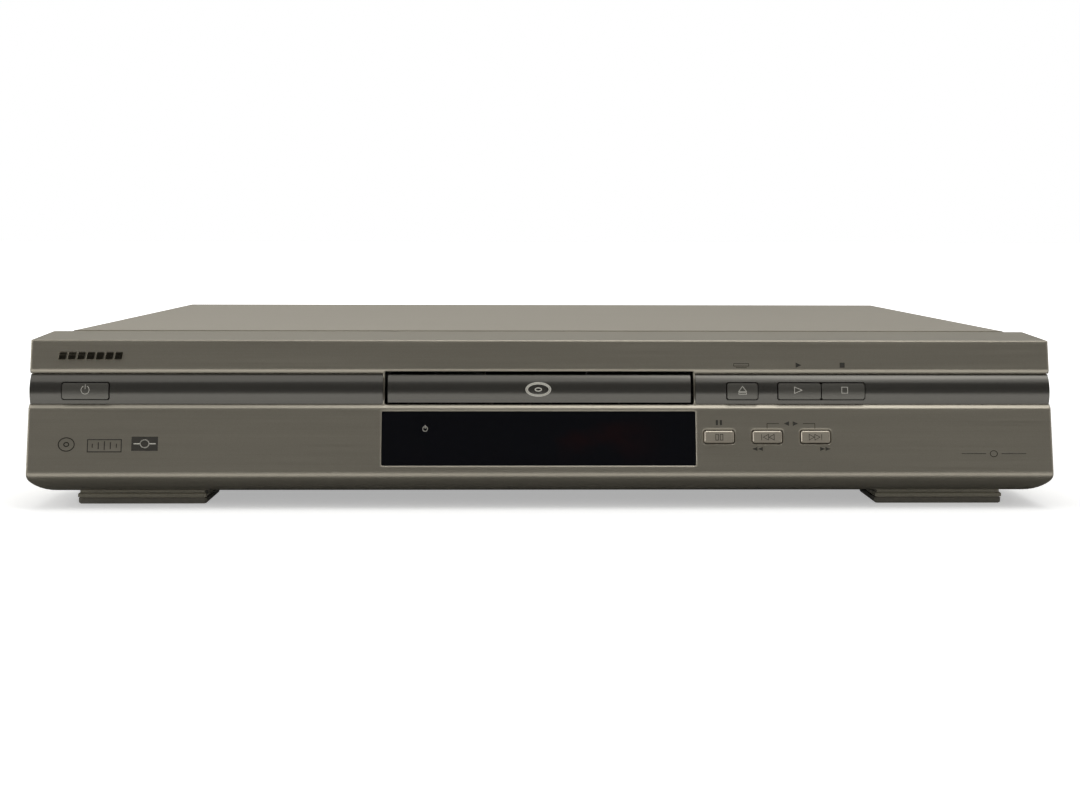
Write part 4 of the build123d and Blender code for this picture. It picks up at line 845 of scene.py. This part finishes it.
# ---------------------------------------------------------------- camera, floor and light
def camera():
    """The photographed view, from the camera fitted to the player's corners."""
    yaw, pitch, roll = camera_yaw, camera_pitch, camera_roll
    forward = Vector((sin(yaw) * cos(pitch), cos(yaw) * cos(pitch), sin(pitch)))
    right = forward.cross(Vector((0, 0, 1))).normalized()
    up = right.cross(forward)
    rolled = right * cos(roll) + up * sin(roll)
    upward = up * cos(roll) - right * sin(roll)
    data = bpy.data.cameras.new("camera")
    data.sensor_fit = "HORIZONTAL"
    data.sensor_width = sensor_width
    data.lens = sensor_width * focal_pixels / photo_width
    data.clip_start = 0.05
    made = bpy.data.objects.new("camera", data)
    rotation = Matrix((rolled, upward, -forward)).transposed()
    made.matrix_world = Matrix.Translation(camera_place) @ rotation.to_4x4()
    bpy.context.scene.collection.objects.link(made)
    bpy.context.scene.camera = made


def flat_card(name, width, depth, material):
    mesh = bpy.data.meshes.new(name)
    mesh.from_pydata([(x, y, 0) for x, y in rectangle(0, 0, width, depth)], [], [(0, 1, 2, 3)])
    card = bpy.data.objects.new(name, mesh)
    bpy.context.scene.collection.objects.link(card)
    card.data.materials.append(material)
    return card


def floor():
    """White table: seen white by the camera and in gloss, but it keeps the player's shadow."""
    look = Look("floor_look", (0.82, 0.82, 0.81, 1.0), 0.0, 0.9)
    look.shade(look.noise(3.0), 0.004)
    look.done()
    close = look.near((0, 0, 0), 0.75, 0.45, (0, 1))
    level = look.remap(close, 0.0, 1.0, 1.0, 0.40)
    look.shader.inputs["Emission Color"].default_value = (1, 1, 1, 1)
    look.join(look.math("MULTIPLY", look.seen(), level), look.shader.inputs["Emission Strength"])
    flat_card("floor", 40.0, 40.0, look.material)


def world():
    """White behind everything that is seen or mirrored, plain grey light elsewhere."""
    sky = bpy.data.worlds.new("studio")
    bpy.context.scene.world = sky
    sky.use_nodes = True
    tree = sky.node_tree
    background = tree.nodes["Background"]
    path = tree.nodes.new("ShaderNodeLightPath")
    shown = path.outputs["Is Camera Ray"]
    for ray in ("Is Glossy Ray", "Is Transmission Ray"):
        either = tree.nodes.new("ShaderNodeMath")
        either.operation = "MAXIMUM"
        tree.links.new(shown, either.inputs[0])
        tree.links.new(path.outputs[ray], either.inputs[1])
        shown = either.outputs[0]
    mix = tree.nodes.new("ShaderNodeMix")
    mix.data_type = "RGBA"
    mix.inputs[mix_first].default_value = (0.55, 0.55, 0.55, 1)
    mix.inputs[mix_second].default_value = (1, 1, 1, 1)
    tree.links.new(shown, mix.inputs[mix_factor])
    tree.links.new(mix.outputs[mix_result], background.inputs["Color"])
    background.inputs["Strength"].default_value = 1.0


def area_light(name, place, target, size, power):
    data = bpy.data.lights.new(name, "AREA")
    data.shape = "RECTANGLE"
    data.size, data.size_y = size
    data.energy = power
    lamp = bpy.data.objects.new(name, data)
    lamp.location = place
    lamp.rotation_mode = "QUATERNION"
    lamp.rotation_quaternion = (Vector(target) - Vector(place)).to_track_quat("-Z", "Y")
    bpy.context.scene.collection.objects.link(lamp)


def mirrored_card(name, color, size, place, facing):
    """A card that shows only in glossy and clear pieces, and that casts no shadow."""
    look = Look(name + "_look", color, 0.0, 0.9)
    look.shade(look.noise(2.0), 0.02)
    card = flat_card(name, *size, look.done())
    card.rotation_mode = "QUATERNION"
    card.location = place
    card.rotation_quaternion = Vector(facing).to_track_quat("Z", "Y")
    card.visible_camera = False
    card.visible_diffuse = False
    card.visible_shadow = False


def studio():
    """Floor, white surroundings, two soft lights and the cards that shape the gloss, one of them a
    painted shadow.
    """
    floor()
    world()
    mirrored_card("front_card", srgb(46, 44, 40), (5.0, 1.65), (0.0, -1.75, 0.87), (0.0, 1.0, -0.35))
    # Painted shadow: a dark card on the table just in front of the player, where its shadow falls, seen
    # only in the glossy chin and band.
    mirrored_card("painted_shadow_card", srgb(34, 33, 30), (1.4, 0.105), (0.0, -0.1325, 0.0005), (0.0, 0.0, 1.0))
    mirrored_card("back_card", srgb(166, 165, 161), (5.0, 1.6), (0.0, 2.2, 0.82), (0.0, -1.0, 0.0))
    area_light("top_light", (0.1, 0.08, 1.5), (0, 0, 0), (2.2, 0.7), 12.0)
    area_light("left_light", (-1.5, -0.5, 0.7), (0, -0.1, 0.03), (0.5, 1.2), 6.0)


band_key_symbols()
panel_key_symbols()
key_labels()
format_symbols()
single_marks()
badge()
screws("case_screws")
screws("inner_screws", facing_up=True)
for key in band_keys:
    rounded_edges(nodes[key + "_button"], 0.34 * mm)
rounded_edges(nodes["tray_door"], 0.3 * mm)
for key in panel_keys:
    rounded_edges(nodes[key + "_button"], 0.3 * mm)
camera()
studio()
bpy.context.scene.view_settings.view_transform = "Standard"
